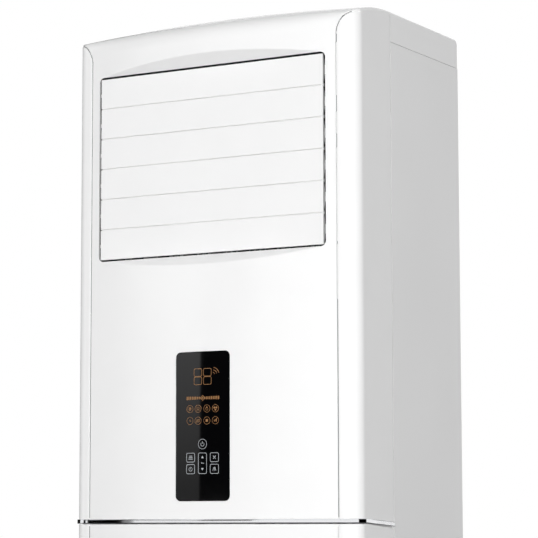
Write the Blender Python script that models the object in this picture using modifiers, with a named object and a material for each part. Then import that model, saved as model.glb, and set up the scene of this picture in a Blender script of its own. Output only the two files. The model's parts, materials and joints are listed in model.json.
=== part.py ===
"""Floor-standing indoor unit of a split air conditioner, modelled piece by piece.

Units are metres, +Z is up and the front of the unit faces -Y. The origin is on the floor,
under the middle of the unit.
"""

import math

import bmesh
import bpy
from mathutils import Matrix, Vector

# Overall cabinet
WIDTH = 0.540  # across the side panels
DEPTH = 0.402  # trim strip to back panel
HEIGHT = 1.847  # floor to the middle of the crowned top
CROWN = 0.010  # how far the top falls from its middle to its sides
ROOF_ROLL = 0.322  # radius in which the top rolls down towards the front
EDGE_ROUND = 0.0065  # radius along the top's side edges
TOP_ROUND = 0.014  # radius along the top front edge, at the middle
TOP_ROUND_SIDE = 0.006  # the same at the sides
SHELL = 0.003  # wall of the moulded front panels
SHEET = 0.0012  # steel sheet of the cabinet
SEAT = 0.0003  # clearance between pieces that touch
SEAM = 0.0010  # visible joint between outer panels
CAP_SEAM = 0.0006  # joint under the top cover's skirt

# Plan of the front: a bowed face between two rounded corner columns
BOW_DEPTH = 0.0237  # middle of the bow to the crease beside the column
COLUMN_WIDTH = 0.0347  # crease to the side of the cabinet
COLUMN_DEPTH = 0.0263  # crease to the start of the flat side
SIDE_DEPTH = 0.095  # flat side of the front panels
TRIM_PROUD = 0.002  # trim strip beyond the front panels
CREASE_GROOVE = 0.0008  # radius of the groove in the crease
FLARE_HEIGHT = 0.060  # height over which the crease turns outwards at the top

# Heights of the outer panels
BASE_HEIGHT = 0.045
LOWER_PANEL_BOTTOM = 0.052
TRIM_BOTTOM = 1.0045
TRIM_HEIGHT = 0.0070
CAP_BOTTOM = 1.786  # lower edge of the top cover's skirt

# Outlet window
OUTLET_SIDE = 0.0538  # side of the cabinet to the opening
OUTLET_BOTTOM = 1.440
OUTLET_HEIGHT = 0.313
OUTLET_ROUND = 0.007  # corner radius of the opening
WINDOW_RECESS = 0.019  # flat window plane behind the middle of the bow
LUNETTE = 0.0175  # height of the sloped face above and below the window

# Intake window in the lower panel
INTAKE_SIDE = 0.070  # side of the cabinet to the opening
INTAKE_BOTTOM = 0.170
INTAKE_HEIGHT = 0.430
INTAKE_BARS = 16

# Outlet louvres
LOUVRES = 6
LOUVRE_GAP = 0.0012  # between two closed louvres
LOUVRE_LAP = 0.0030  # tongue below each louvre, behind the next one's upper edge
LAP_BACK = 0.0040  # louvre face to the front of that tongue
LAP_THICK = 0.0012
LOUVRE_EDGE = 0.0030  # between the louvres and the edge of the opening
LOUVRE_BACK = 0.0110  # louvre face to its axis
LOUVRE_SET = 0.0005  # louvre face behind the window plane
LOUVRE_THICK = 0.0075
LOUVRE_OPEN = 85.0  # degrees
PIN_RADIUS = 0.003
PIN_PLAY = 0.0005
CRANK_ARM = 0.013
CRANK_THICK = 0.0025
LINK_THICK = 0.003
LINK_WIDTH = 0.009

# Outlet duct and its upright vanes
DUCT_SIDE = 0.0103  # duct inside beyond the opening, on each side
DUCT_WALL = 0.003
DUCT_MARGIN = 0.006  # duct inside beyond the opening, above and below
DUCT_DEPTH = 0.086
VANES = 8
VANE_MARGIN = 0.0062  # outer vanes' half pitch inside the opening
VANE_CHORD = 0.034
VANE_THICK = 0.002
VANE_AXIS_BACK = 0.086  # vane axes behind the middle of the bow
VANE_PIN = 0.0025
VANE_LINK_GAP = 0.014  # vane foot above the duct floor
VANE_TOP_GAP = 0.003
MOTOR_LOUVRE = 2  # the louvre, counted from 0 at the top, that the motor turns
STEPPER_RADIUS = 0.014
STEPPER_LENGTH = 0.019
STEPPER_OFFSET = 0.016  # motor axis behind its output shaft

# Display
DISPLAY_WIDTH = 0.1025
DISPLAY_HEIGHT = 0.2405
DISPLAY_BOTTOM = 1.040
DISPLAY_ROUND = 0.005
GLASS_THICK = 0.0020
BOARD_THICK = 0.0016

# Blower
FAN_HEIGHT = 0.385  # axis above the floor
FAN_GAP = 0.013  # wheel to the tongue of the scroll
BLADE_DEPTH = 0.027
FAN_WIDTH = 0.140
FAN_BLADES = 28
FAN_SHEET = 0.0025
SCROLL_WIDTH = 0.170
SCROLL_GROWTH = 0.065  # scroll radius from the tongue to the outlet side
SCROLL_SIDE = 0.0218  # outlet side of the scroll to the side panel
SCROLL_WALL = 0.002
TONGUE_ANGLE = 60.0  # degrees
INLET_STEP = 0.006  # inlet ring's throat inside the blades
INLET_FLARE = 0.014  # radius of the bell mouth
SHAFT_RADIUS = 0.006
MOTOR_RADIUS = 0.078
MOTOR_LENGTH = 0.080
DECK_HEIGHT = 0.660  # top face of the blower deck
DECK_FLANGE = 0.020

# Evaporator
COIL_LENGTH = 0.640
COIL_THICK = 0.050
COIL_SIDE = 0.065  # side of the cabinet to the fin block
COIL_TILT = 20.0  # degrees from upright
COIL_FOOT_Y = -0.088
COIL_FOOT_Z = 1.078
FIN_PITCH = 0.0195
FIN_GROOVE = 0.0125
FIN_CUT = 0.006
END_PLATE = 0.0015
BEND_RADIUS = 0.0048
BENDS = 7

# Pipes
GAS_PIPE = 0.0080  # radius
LIQUID_PIPE = 0.0048
HOSE_RADIUS = 0.0090
PIPE_SIDE = 0.038  # side of the cabinet to the pipes in the rear corners
PIPE_CORNER_Y = 0.150
PIPE_APART = 0.030
PIPE_END_Z = 0.125
PIPE_BEND = 0.012  # radius of the pipes' bends

# Drain pan and control box
PAN_HEIGHT = 0.038
PAN_WALL = 0.0020
BOX_WIDTH = 0.400
BOX_HEIGHT = 0.300
BOX_DEPTH = 0.050
BOX_FRONT_Y = -0.143

# Lower panel hinge and air filter
HINGE_SIDE = 0.034  # side of the cabinet to the hinge lugs
HINGE_PIN = 0.004
HINGE_DROP = 0.016  # hinge axis above the lower edge of the panel
HINGE_BACK = 0.042  # hinge axis behind the middle of the bow
SIDE_RELIEF = 0.005  # fall of the panel's upper edge along its sides, which lets it tilt under the trim
FILTER_THICK = 0.006
FILTER_BARS_X = 4
FILTER_BARS_Z = 5

# Places worked out from the sizes above
HALF = WIDTH / 2
FRONT_Y = TRIM_PROUD - DEPTH / 2
BACK_Y = DEPTH / 2
CREASE_X = HALF - COLUMN_WIDTH
CREASE_Y = FRONT_Y + BOW_DEPTH
CORNER_Y = CREASE_Y + COLUMN_DEPTH
SIDE_END_Y = CORNER_Y + SIDE_DEPTH
CABINET_Y = SIDE_END_Y + SEAM
BOW_RADIUS = (CREASE_X**2 + BOW_DEPTH**2) / (2 * BOW_DEPTH)
JOGGLE_X = HALF - SHELL - SEAM  # outer face of the side panel inside the front panels
INNER_X = JOGGLE_X - SHEET
FLANGE_Y = CORNER_Y  # front flange of the side panels
TRIM_TOP = TRIM_BOTTOM + TRIM_HEIGHT
UPPER_BOTTOM = TRIM_TOP + SEAT
LOWER_TOP = TRIM_BOTTOM - 2 * SEAM
OUTLET_WIDTH = WIDTH - 2 * OUTLET_SIDE
OUTLET_TOP = OUTLET_BOTTOM + OUTLET_HEIGHT
INTAKE_WIDTH = WIDTH - 2 * INTAKE_SIDE
WINDOW_Y = FRONT_Y + WINDOW_RECESS
LOUVRE_AXIS_Y = WINDOW_Y + LOUVRE_SET + LOUVRE_BACK
LOUVRE_PITCH = (OUTLET_HEIGHT - 2 * LOUVRE_EDGE + LOUVRE_GAP) / LOUVRES
LOUVRE_CHORD = LOUVRE_PITCH - LOUVRE_GAP
LOUVRE_HALF = OUTLET_WIDTH / 2 - LOUVRE_EDGE
CRANK_PHASE = math.radians(LOUVRE_OPEN / 2)
LOUVRE_LINK_X = -LOUVRE_HALF - CRANK_THICK - 0.0015 - LINK_THICK / 2
DUCT_HALF_WIDTH = OUTLET_WIDTH / 2 + DUCT_SIDE
DUCT_FRONT_Y = FRONT_Y + 0.0260
DUCT_BACK_Y = DUCT_FRONT_Y + DUCT_DEPTH
DUCT_FLOOR = OUTLET_BOTTOM - DUCT_MARGIN
DUCT_ROOF = OUTLET_TOP + DUCT_MARGIN
VANE_PITCH = (OUTLET_WIDTH - 2 * VANE_MARGIN) / VANES
VANE_Y = FRONT_Y + VANE_AXIS_BACK
VANE_FOOT = DUCT_FLOOR + VANE_LINK_GAP
VANE_HEAD = DUCT_ROOF - VANE_TOP_GAP
VANE_LINK_Z = DUCT_FLOOR + VANE_LINK_GAP / 2
SCROLL_END = INNER_X - SCROLL_SIDE
SCROLL_START = SCROLL_END - SCROLL_GROWTH
FAN_RADIUS = SCROLL_START - FAN_GAP
FAN_INNER = FAN_RADIUS - BLADE_DEPTH
INLET_RADIUS = FAN_INNER - INLET_STEP
SCROLL_FRONT_Y = -0.090
SCROLL_BACK_Y = SCROLL_FRONT_Y + SCROLL_WIDTH
WHEEL_FRONT_Y = SCROLL_FRONT_Y + 0.018
WHEEL_BACK_Y = WHEEL_FRONT_Y + FAN_WIDTH
BRACKET_THICK = 0.0025
BRACKET_Y = SCROLL_BACK_Y + SEAT
MOTOR_Y = BRACKET_Y + BRACKET_THICK + SEAT
COIL_WIDTH = WIDTH - 2 * COIL_SIDE
PIPE_CORNER_X = HALF - PIPE_SIDE
HINGE_X = HALF - HINGE_SIDE
HINGE_Y = FRONT_Y + HINGE_BACK
HINGE_Z = LOWER_PANEL_BOTTOM + HINGE_DROP
TILT = math.radians(COIL_TILT)

PARTS = "split_air_conditioner"
CUTTERS = "cutters"
MATERIALS = {
    "white_gloss": ((0.93, 0.93, 0.93), 0.15, 0.0),
    "cabinet_paint": ((0.82, 0.82, 0.83), 0.40, 0.0),
    "louvre_white": ((0.91, 0.91, 0.91), 0.30, 0.0),
    "black_glass": ((0.010, 0.010, 0.012), 0.06, 0.0),
    "chrome": ((0.85, 0.85, 0.86), 0.08, 1.0),
    "dark_plastic": ((0.03, 0.03, 0.03), 0.50, 0.0),
    "foam_duct": ((0.75, 0.75, 0.74), 0.80, 0.0),
    "galvanised": ((0.55, 0.56, 0.57), 0.45, 1.0),
    "aluminium": ((0.78, 0.79, 0.80), 0.35, 1.0),
    "copper": ((0.72, 0.35, 0.20), 0.30, 1.0),
    "brass": ((0.75, 0.58, 0.25), 0.30, 1.0),
    "board_green": ((0.02, 0.18, 0.06), 0.50, 0.0),
    "hose_grey": ((0.60, 0.60, 0.60), 0.60, 0.0),
    "filter_grey": ((0.30, 0.32, 0.33), 0.60, 0.0),
}


def clear_scene():
    """Remove what the file holds and make the two collections."""
    for thing in list(bpy.data.objects):
        bpy.data.objects.remove(thing, do_unlink=True)
    for name in (PARTS, CUTTERS):
        group = bpy.data.collections.new(name)
        bpy.context.scene.collection.children.link(group)


def material(name):
    """The Principled material of that name, made once."""
    if name in bpy.data.materials:
        return bpy.data.materials[name]
    colour, roughness, metallic = MATERIALS[name]
    made = bpy.data.materials.new(name)
    made.use_nodes = True
    shader = made.node_tree.nodes["Principled BSDF"]
    shader.inputs["Base Color"].default_value = (*colour, 1.0)
    shader.inputs["Roughness"].default_value = roughness
    shader.inputs["Metallic"].default_value = metallic
    return made


def object_from(mesh_tool, name):
    """A mesh object from a bmesh, in the cutters' collection until it is finished."""
    bmesh.ops.recalc_face_normals(mesh_tool, faces=mesh_tool.faces)
    mesh = bpy.data.meshes.new(name)
    mesh_tool.to_mesh(mesh)
    mesh_tool.free()
    made = bpy.data.objects.new(name, mesh)
    made.hide_render = True
    made.display_type = "WIRE"
    bpy.data.collections[CUTTERS].objects.link(made)
    return made


def block(low, high):
    """A box between two corners."""
    tool = bmesh.new()
    size = Vector(high) - Vector(low)
    middle = (Vector(high) + Vector(low)) / 2
    bmesh.ops.create_cube(tool, size=1.0, matrix=Matrix.Translation(middle) @ Matrix.Diagonal((*size, 1.0)))
    return object_from(tool, "block")


def turned_axis(axis):
    """The rotation that lays a Z cylinder along an axis."""
    return Vector((0, 0, 1)).rotation_difference(Vector(axis)).to_matrix().to_4x4()


def rod(start, end, radius, sides=24, end_radius=None):
    """A round bar, or a cone, from one point to another."""
    tool = bmesh.new()
    start, end = Vector(start), Vector(end)
    place = Matrix.Translation((start + end) / 2) @ turned_axis((end - start).normalized())
    bmesh.ops.create_cone(
        tool, cap_ends=True, segments=sides, radius1=radius,
        radius2=radius if end_radius is None else end_radius,
        depth=(end - start).length, matrix=place,
    )
    return object_from(tool, "rod")


def prism(outline, axis, low, high):
    """A flat outline pushed along an axis. Outlines for X are (y, z), for Y (x, z), for Z (x, y)."""
    places = {
        "X": lambda a, b: Vector((low, a, b)),
        "Y": lambda a, b: Vector((a, low, b)),
        "Z": lambda a, b: Vector((a, b, low)),
    }
    along = {"X": Vector((1, 0, 0)), "Y": Vector((0, 1, 0)), "Z": Vector((0, 0, 1))}[axis]
    tool = bmesh.new()
    face = tool.faces.new([tool.verts.new(places[axis](a, b)) for a, b in outline])
    grown = bmesh.ops.extrude_face_region(tool, geom=[face])
    corners = [part for part in grown["geom"] if isinstance(part, bmesh.types.BMVert)]
    bmesh.ops.translate(tool, verts=corners, vec=along * (high - low))
    return object_from(tool, "prism")


def loft(stations, section):
    """Closed (y, z) sections, one for each x station, skinned across the width."""
    tool = bmesh.new()
    rings = [[tool.verts.new((x, y, z)) for y, z in section(x)] for x in stations]
    count = len(rings[0])
    for first, second in zip(rings, rings[1:]):
        for i in range(count):
            j = (i + 1) % count
            tool.faces.new((first[i], first[j], second[j], second[i]))
    tool.faces.new(rings[0])
    tool.faces.new(reversed(rings[-1]))
    return object_from(tool, "loft")


def rounded(width, height, radius, steps=4, middle=(0.0, 0.0)):
    """The outline of a rectangle with round corners."""
    points = []
    for corner, (sx, sy) in enumerate(((1, 1), (-1, 1), (-1, -1), (1, -1))):
        cx, cy = sx * (width / 2 - radius), sy * (height / 2 - radius)
        for i in range(steps + 1):
            turn = math.radians(90 * corner + 90 * i / steps)
            points.append((middle[0] + cx + radius * math.cos(turn), middle[1] + cy + radius * math.sin(turn)))
    return points


def turned(profile, axis_start, axis, sides=32):
    """A solid of revolution. Its profile is (radius, distance along the axis), closed at the axis."""
    tool = bmesh.new()
    verts = [tool.verts.new((radius, 0.0, along)) for radius, along in profile]
    pairs = [(i, (i + 1) % len(verts)) for i in range(len(verts))]
    edges = [tool.edges.new((verts[i], verts[j])) for i, j in pairs if profile[i][0] > 0 or profile[j][0] > 0]
    bmesh.ops.spin(
        tool, geom=verts + edges, cent=(0, 0, 0), axis=(0, 0, 1), angle=2 * math.pi,
        steps=sides, use_merge=True,
    )
    bmesh.ops.remove_doubles(tool, verts=tool.verts, dist=1e-6)
    tool.transform(Matrix.Translation(axis_start) @ turned_axis(axis))
    return object_from(tool, "turned")


def tube(points, radius, sides=8):
    """A round wire or pipe through points, as a mesh."""
    curve = bpy.data.curves.new("tube", "CURVE")
    curve.dimensions = "3D"
    curve.bevel_depth = radius
    curve.bevel_resolution = (sides - 4) // 2
    curve.use_fill_caps = True
    line = curve.splines.new("POLY")
    line.points.add(len(points) - 1)
    for place, point in zip(line.points, points):
        place.co = (*point, 1.0)
    holder = bpy.data.objects.new("tube", curve)
    bpy.context.scene.collection.objects.link(holder)
    bpy.context.view_layer.update()
    mesh = bpy.data.meshes.new_from_object(holder.evaluated_get(bpy.context.evaluated_depsgraph_get()))
    bpy.data.objects.remove(holder)
    tool = bmesh.new()
    tool.from_mesh(mesh)
    bmesh.ops.remove_doubles(tool, verts=tool.verts, dist=1e-6)
    return object_from(tool, "tube")


def smooth_route(corners, radius, steps=5):
    """Straight runs with their corners rounded, as pipe benders leave them."""
    points = [Vector(corners[0])]
    for before, here, after in zip(corners, corners[1:], corners[2:]):
        here = Vector(here)
        back, ahead = (Vector(before) - here).normalized(), (Vector(after) - here).normalized()
        reach = radius / math.tan(back.angle(ahead) / 2)
        start, end = here + back * reach, here + ahead * reach
        centre = here + (back + ahead).normalized() * (radius / math.sin(back.angle(ahead) / 2))
        for i in range(steps + 1):
            blend = (start - centre).lerp(end - centre, i / steps)
            points.append(centre + blend.normalized() * radius)
    points.append(Vector(corners[-1]))
    return points


def combine(target, tools, operation):
    """One exact Boolean for each tool, kept in the mesh. The tools are used up."""
    for other in tools:
        step = target.modifiers.new(operation.lower(), "BOOLEAN")
        step.operation = operation
        step.object = other
    bpy.context.view_layer.update()
    ready = target.evaluated_get(bpy.context.evaluated_depsgraph_get())
    mesh = bpy.data.meshes.new_from_object(ready)
    target.modifiers.clear()
    target.data = mesh
    for other in tools:
        bpy.data.objects.remove(other, do_unlink=True)
    return target


def fuse(target, *tools):
    return combine(target, tools, "UNION")


def carve(target, *tools):
    return combine(target, tools, "DIFFERENCE")


def overlap(target, *tools):
    return combine(target, tools, "INTERSECT")


def soften(made, width, angle=40.0, segments=2):
    """Small round edges."""
    bevel = made.modifiers.new("edges", "BEVEL")
    bevel.width = width
    bevel.segments = segments
    bevel.limit_method = "ANGLE"
    bevel.angle_limit = math.radians(angle)
    return made


def finish(made, name, finish_name, pivot=None, parent=None):
    """Name a piece, give it its material, put its origin on its axis and place it with the parts."""
    made.name = name
    made.data.name = name
    made.data.materials.clear()
    made.data.materials.append(material(finish_name))
    if pivot is not None:
        made.data.transform(Matrix.Translation(-Vector(pivot)))
        made.location = pivot
    made.data.shade_smooth()
    made.data.set_sharp_from_angle(angle=math.radians(35))
    made.hide_render = False
    made.display_type = "TEXTURED"
    bpy.data.collections[CUTTERS].objects.unlink(made)
    bpy.data.collections[PARTS].objects.link(made)
    if parent is not None:
        bpy.context.view_layer.update()
        made.parent = parent
        made.matrix_parent_inverse = parent.matrix_world.inverted()
    return made


def copy_of(made):
    """A second object on a copy of the same mesh."""
    other = bpy.data.objects.new(made.name, made.data.copy())
    other.hide_render = True
    other.display_type = "WIRE"
    bpy.data.collections[CUTTERS].objects.link(other)
    return other


def moved(made, offset):
    made.data.transform(Matrix.Translation(offset))
    return made


# Shape of the front


def front_y(x, inset=0.0):
    """The front face's y at x: the bow, then the quarter oval of the corner column."""
    out = abs(x)
    if out <= CREASE_X:
        return FRONT_Y + inset + BOW_RADIUS - math.sqrt(BOW_RADIUS**2 - out**2)
    share = min(1.0, (out - CREASE_X) / (COLUMN_WIDTH - inset))
    return CREASE_Y + inset + COLUMN_DEPTH * (1 - math.sqrt(1 - share**2))


def roof_z(x, y=SIDE_END_Y):
    """Height of the top: crowned across, rounded along its side edges and rolled down to the front."""
    over = max(0.0, abs(x) - HALF + EDGE_ROUND) / EDGE_ROUND
    edge = EDGE_ROUND * (1 - math.sqrt(max(0.0, 1 - over**2)))
    ahead = max(0.0, SIDE_END_Y - y)
    return HEIGHT - CROWN * (x / HALF) ** 2 - edge - ahead**2 / (2 * ROOF_ROLL)


def top_front(x, inset=0.0):
    """The round along the top front edge at x: its radius, its centre and the angle that it turns."""
    share = min(1.0, max(0.0, (abs(x) - CREASE_X) / COLUMN_WIDTH))
    radius = TOP_ROUND + (TOP_ROUND_SIDE - TOP_ROUND) * share - inset
    centre_y = front_y(x, inset) + radius
    slope = 0.0
    for _ in range(4):
        meet = centre_y - radius * math.sin(slope)
        slope = math.atan((SIDE_END_Y - meet) / ROOF_ROLL)
    return radius, centre_y, roof_z(x, meet) - inset - radius * math.cos(slope), math.pi / 2 - slope


def front_stations(inset=0.0, bow_steps=14, column_steps=5):
    """x of each section: even steps over the bow and even turns round each column."""
    right = [CREASE_X * i / (bow_steps / 2) for i in range(bow_steps // 2 + 1)]
    turns = [math.radians(90 * i / column_steps) for i in range(1, column_steps + 1)]
    right += [CREASE_X + (COLUMN_WIDTH - inset) * math.sin(turn) for turn in turns]
    return [-x for x in reversed(right[1:])] + right


def upper_section(x, inset, low, back, steps=5):
    """Side section of the upper front panel: its face, the round above it and the rolled top."""
    radius, centre_y, centre_z, turn = top_front(x, inset)
    points = [(back, low), (centre_y - radius, low)]
    for i in range(steps + 1):
        angle = turn * i / steps
        points.append((centre_y - radius * math.cos(angle), centre_z + radius * math.sin(angle)))
    meet = points[-1][0]
    for i in range(1, 4):
        y = meet + (SIDE_END_Y - meet) * i / 3
        points.append((y, roof_z(x, y) - inset))
    if back > SIDE_END_Y:
        points.append((back, roof_z(x) - inset))
    return points


def lower_section(x, inset, low, high, back):
    face = front_y(x, inset)
    return [(back, low), (face, low), (face, high), (back, high)]


def window_prism(bottom, top, half_width, grow=0.0):
    """Solid that planes a flat window into the bow, with a sloped face above and below it."""
    slope = LUNETTE / WINDOW_RECESS
    ahead = WINDOW_RECESS + 0.010
    rise = slope * ahead
    outline = [
        (WINDOW_Y + grow, bottom - grow),
        (WINDOW_Y + grow, top + grow),
        (WINDOW_Y - ahead, top + grow + rise),
        (WINDOW_Y - ahead, bottom - grow - rise),
    ]
    return prism(outline, "X", -half_width, half_width)


def crease_path(side):
    """Points up the crease, turning out to the top front corner of the flat side."""
    start, end = roof_z(CREASE_X) - FLARE_HEIGHT, roof_z(HALF, CORNER_Y)
    points = [(side * CREASE_X, CREASE_Y, UPPER_BOTTOM - 0.01)]
    for i in range(9):
        turn = math.radians(90 * i / 8)
        x = CREASE_X + COLUMN_WIDTH * 0.95 * (1 - math.cos(turn))
        z = start + (end - start) * math.sin(turn)
        radius, centre_y, centre_z, _ = top_front(x)
        over = min(radius, max(0.0, z - centre_z))
        points.append((side * x, centre_y - math.sqrt(radius**2 - over**2), z))
    return points


def upper_front_panel():
    low, far = UPPER_BOTTOM, SIDE_END_Y
    shell = loft(front_stations(), lambda x: upper_section(x, 0.0, low, far))
    hollow = loft(front_stations(SHELL), lambda x: upper_section(x, SHELL, low + SHELL, far + 0.01))
    half = CREASE_X - 0.004
    carve(hollow, window_prism(OUTLET_BOTTOM, OUTLET_TOP, half, SHELL))
    pad_low, pad_high = DISPLAY_BOTTOM - 0.006, DISPLAY_BOTTOM + DISPLAY_HEIGHT + 0.006
    pad = block(
        (-DISPLAY_WIDTH / 2 - 0.006, FRONT_Y - 0.01, pad_low),
        (DISPLAY_WIDTH / 2 + 0.006, display_pad_y(), pad_high),
    )
    carve(hollow, pad)
    below = block((-HALF + SHELL, FLANGE_Y - SEAT, low - 0.01), (HALF - SHELL, far + 0.01, low + 2 * SHELL))
    opening = prism(
        rounded(OUTLET_WIDTH, OUTLET_HEIGHT, OUTLET_ROUND, 4, (0, (OUTLET_TOP + OUTLET_BOTTOM) / 2)),
        "Y", FRONT_Y - 0.01, WINDOW_Y + 0.012,
    )
    middle = (0, DISPLAY_BOTTOM + DISPLAY_HEIGHT / 2)
    pocket_face = prism(
        rounded(DISPLAY_WIDTH + 2 * SEAT, DISPLAY_HEIGHT + 2 * SEAT, DISPLAY_ROUND, 3, middle),
        "Y", FRONT_Y - 0.005, glass_back_y() + SEAT,
    )
    view_hole = block(
        (-DISPLAY_WIDTH / 2 + 0.010, FRONT_Y - 0.005, DISPLAY_BOTTOM + 0.014),
        (DISPLAY_WIDTH / 2 - 0.010, display_pad_y() + 0.002, DISPLAY_BOTTOM + DISPLAY_HEIGHT - 0.014),
    )
    carve(shell, hollow, window_prism(OUTLET_BOTTOM, OUTLET_TOP, half), opening, below, pocket_face, view_hole)
    for side in (-1, 1):
        carve(shell, tube(crease_path(side), CREASE_GROOVE, 6))
    return finish(shell, "upper_front_panel", "white_gloss")


def glass_back_y():
    """The glass has a flat back, behind the bow at its edges by its own thickness."""
    return front_y(DISPLAY_WIDTH / 2) + GLASS_THICK * 0.6


def display_pad_y():
    return glass_back_y() + SEAT + 0.0022


def display_glass():
    middle = (0, DISPLAY_BOTTOM + DISPLAY_HEIGHT / 2)
    glass = prism(
        rounded(DISPLAY_WIDTH, DISPLAY_HEIGHT, DISPLAY_ROUND, 3, middle), "Y", FRONT_Y - 0.003, glass_back_y()
    )
    steps = [DISPLAY_WIDTH * 0.6 * (i / 4 - 1) for i in range(9)]
    low, high = DISPLAY_BOTTOM - 0.01, DISPLAY_BOTTOM + DISPLAY_HEIGHT + 0.01
    keep = loft(steps, lambda x: lower_section(x, -SEAT, low, high, 0.0))
    return finish(overlap(glass, keep), "display_glass", "black_glass")


def display_board():
    front = display_pad_y() + SEAT
    low, high = DISPLAY_BOTTOM + 0.004, DISPLAY_BOTTOM + DISPLAY_HEIGHT - 0.004
    half = DISPLAY_WIDTH / 2 - 0.004
    board = block((-half, front, low), (half, front + BOARD_THICK, high))
    chip = block((-0.012, front + BOARD_THICK - 0.0002, low + 0.10), (0.012, front + BOARD_THICK + 0.003, low + 0.124))
    socket_box = block((-0.020, front + BOARD_THICK - 0.0002, low + 0.02), (0.020, front + BOARD_THICK + 0.009, low + 0.030))
    buzzer = rod((0.020, front + BOARD_THICK - 0.0002, low + 0.165), (0.020, front + BOARD_THICK + 0.008, low + 0.165), 0.006, 16)
    return finish(fuse(board, chip, socket_box, buzzer), "display_board", "board_green")


def plan_band(outer, inner, far):
    """Plan outline of a band that follows the front between two offsets."""
    def edge(inset):
        points = []
        for x in front_stations():
            shrunk = x * (HALF - inset) / HALF
            points.append((shrunk, front_y(x) + inset))
        return points
    front = edge(-outer)
    back = edge(inner)
    return [(front[0][0], far)] + front + [(front[-1][0], far), (back[-1][0], far)] + back[::-1] + [(back[0][0], far)]


def trim_strip():
    band = prism(plan_band(TRIM_PROUD, SHELL, SIDE_END_Y), "Z", TRIM_BOTTOM, TRIM_TOP)
    return finish(soften(band, 0.0006, 50, 1), "trim_strip", "chrome")


def lower_front_panel():
    low, high, far = LOWER_PANEL_BOTTOM, LOWER_TOP, SIDE_END_Y
    shell = loft(front_stations(), lambda x: lower_section(x, 0.0, low, high, far))
    hollow = loft(front_stations(SHELL), lambda x: lower_section(x, SHELL, low + SHELL, high - SHELL, far + 0.01))
    top = INTAKE_BOTTOM + INTAKE_HEIGHT
    half = CREASE_X - 0.004
    carve(hollow, window_prism(INTAKE_BOTTOM, top, half, SHELL))
    behind = block((-HALF + SHELL, FLANGE_Y - SEAT, low - 0.01), (HALF - SHELL, far + 0.01, high + 0.01))
    opening = prism(
        rounded(INTAKE_WIDTH, INTAKE_HEIGHT, OUTLET_ROUND, 4, (0, (top + INTAKE_BOTTOM) / 2)),
        "Y", FRONT_Y - 0.01, WINDOW_Y + 0.012,
    )
    carve(shell, hollow, window_prism(INTAKE_BOTTOM, top, half), opening, behind)
    for side in (-1, 1):
        carve(shell, tube([(side * CREASE_X, CREASE_Y, low - 0.01), (side * CREASE_X, CREASE_Y, high + 0.01)], CREASE_GROOVE, 6))
        notch = span_block(
            (side * (HINGE_X + 0.005), front_y(HINGE_X) + SHELL + 0.0002, low - 0.01),
            (side * (HALF - SHELL), FLANGE_Y + 0.01, low + SHELL + 0.001),
        )
        carve(shell, notch)
        lug = block(
            (side * HINGE_X - 0.004, front_y(HINGE_X) + SHELL * 0.5, low + SHELL * 0.5),
            (side * HINGE_X + 0.004, HINGE_Y + 0.007, HINGE_Z + 0.007),
        )
        pin = rod((side * HINGE_X, HINGE_Y, HINGE_Z), (side * (HINGE_X + 0.016), HINGE_Y, HINGE_Z), HINGE_PIN, 16)
        fuse(shell, lug, pin)
    relief_start = CORNER_Y + 0.2 * SIDE_DEPTH
    relief = [(relief_start, high), (far + 0.001, high - SIDE_RELIEF), (far + 0.001, high + 0.01), (relief_start, high + 0.01)]
    heel = [(far - 0.005, low - 0.001), (far + 0.001, low - 0.001), (far + 0.001, low + 0.006)]
    for cut in (relief, heel):
        carve(shell, prism(cut, "X", -HALF - 0.01, HALF + 0.01))
    return finish(shell, "lower_front_panel", "white_gloss", (0, HINGE_Y, HINGE_Z))


def intake_grille():
    """Insert of slanted bars in a frame, behind the lower window."""
    width, height = INTAKE_WIDTH + 0.020, INTAKE_HEIGHT + 0.020
    middle = INTAKE_BOTTOM + INTAKE_HEIGHT / 2
    front = WINDOW_Y + SHELL + SEAT
    frame = block((-width / 2, front, middle - height / 2), (width / 2, front + 0.010, middle + height / 2))
    hole = block(
        (-INTAKE_WIDTH / 2 + 0.004, front - 0.01, middle - INTAKE_HEIGHT / 2 + 0.004),
        (INTAKE_WIDTH / 2 - 0.004, front + 0.02, middle + INTAKE_HEIGHT / 2 - 0.004),
    )
    carve(frame, hole)
    pitch = (INTAKE_HEIGHT - 0.008) / (INTAKE_BARS + 1)
    for i in range(INTAKE_BARS):
        z = INTAKE_BOTTOM + 0.004 + pitch * (i + 1)
        slat = [(front - 0.0020, z + 0.0040), (front + 0.0085, z - 0.0045), (front + 0.0085, z - 0.0020), (front - 0.0020, z + 0.0065)]
        fuse(frame, prism(slat, "X", -INTAKE_WIDTH / 2 + 0.001, INTAKE_WIDTH / 2 - 0.001))
    fuse(frame, block((-0.002, front + 0.004, middle - INTAKE_HEIGHT / 2), (0.002, front + 0.0095, middle + INTAKE_HEIGHT / 2)))
    return finish(frame, "intake_grille", "white_gloss")


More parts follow.
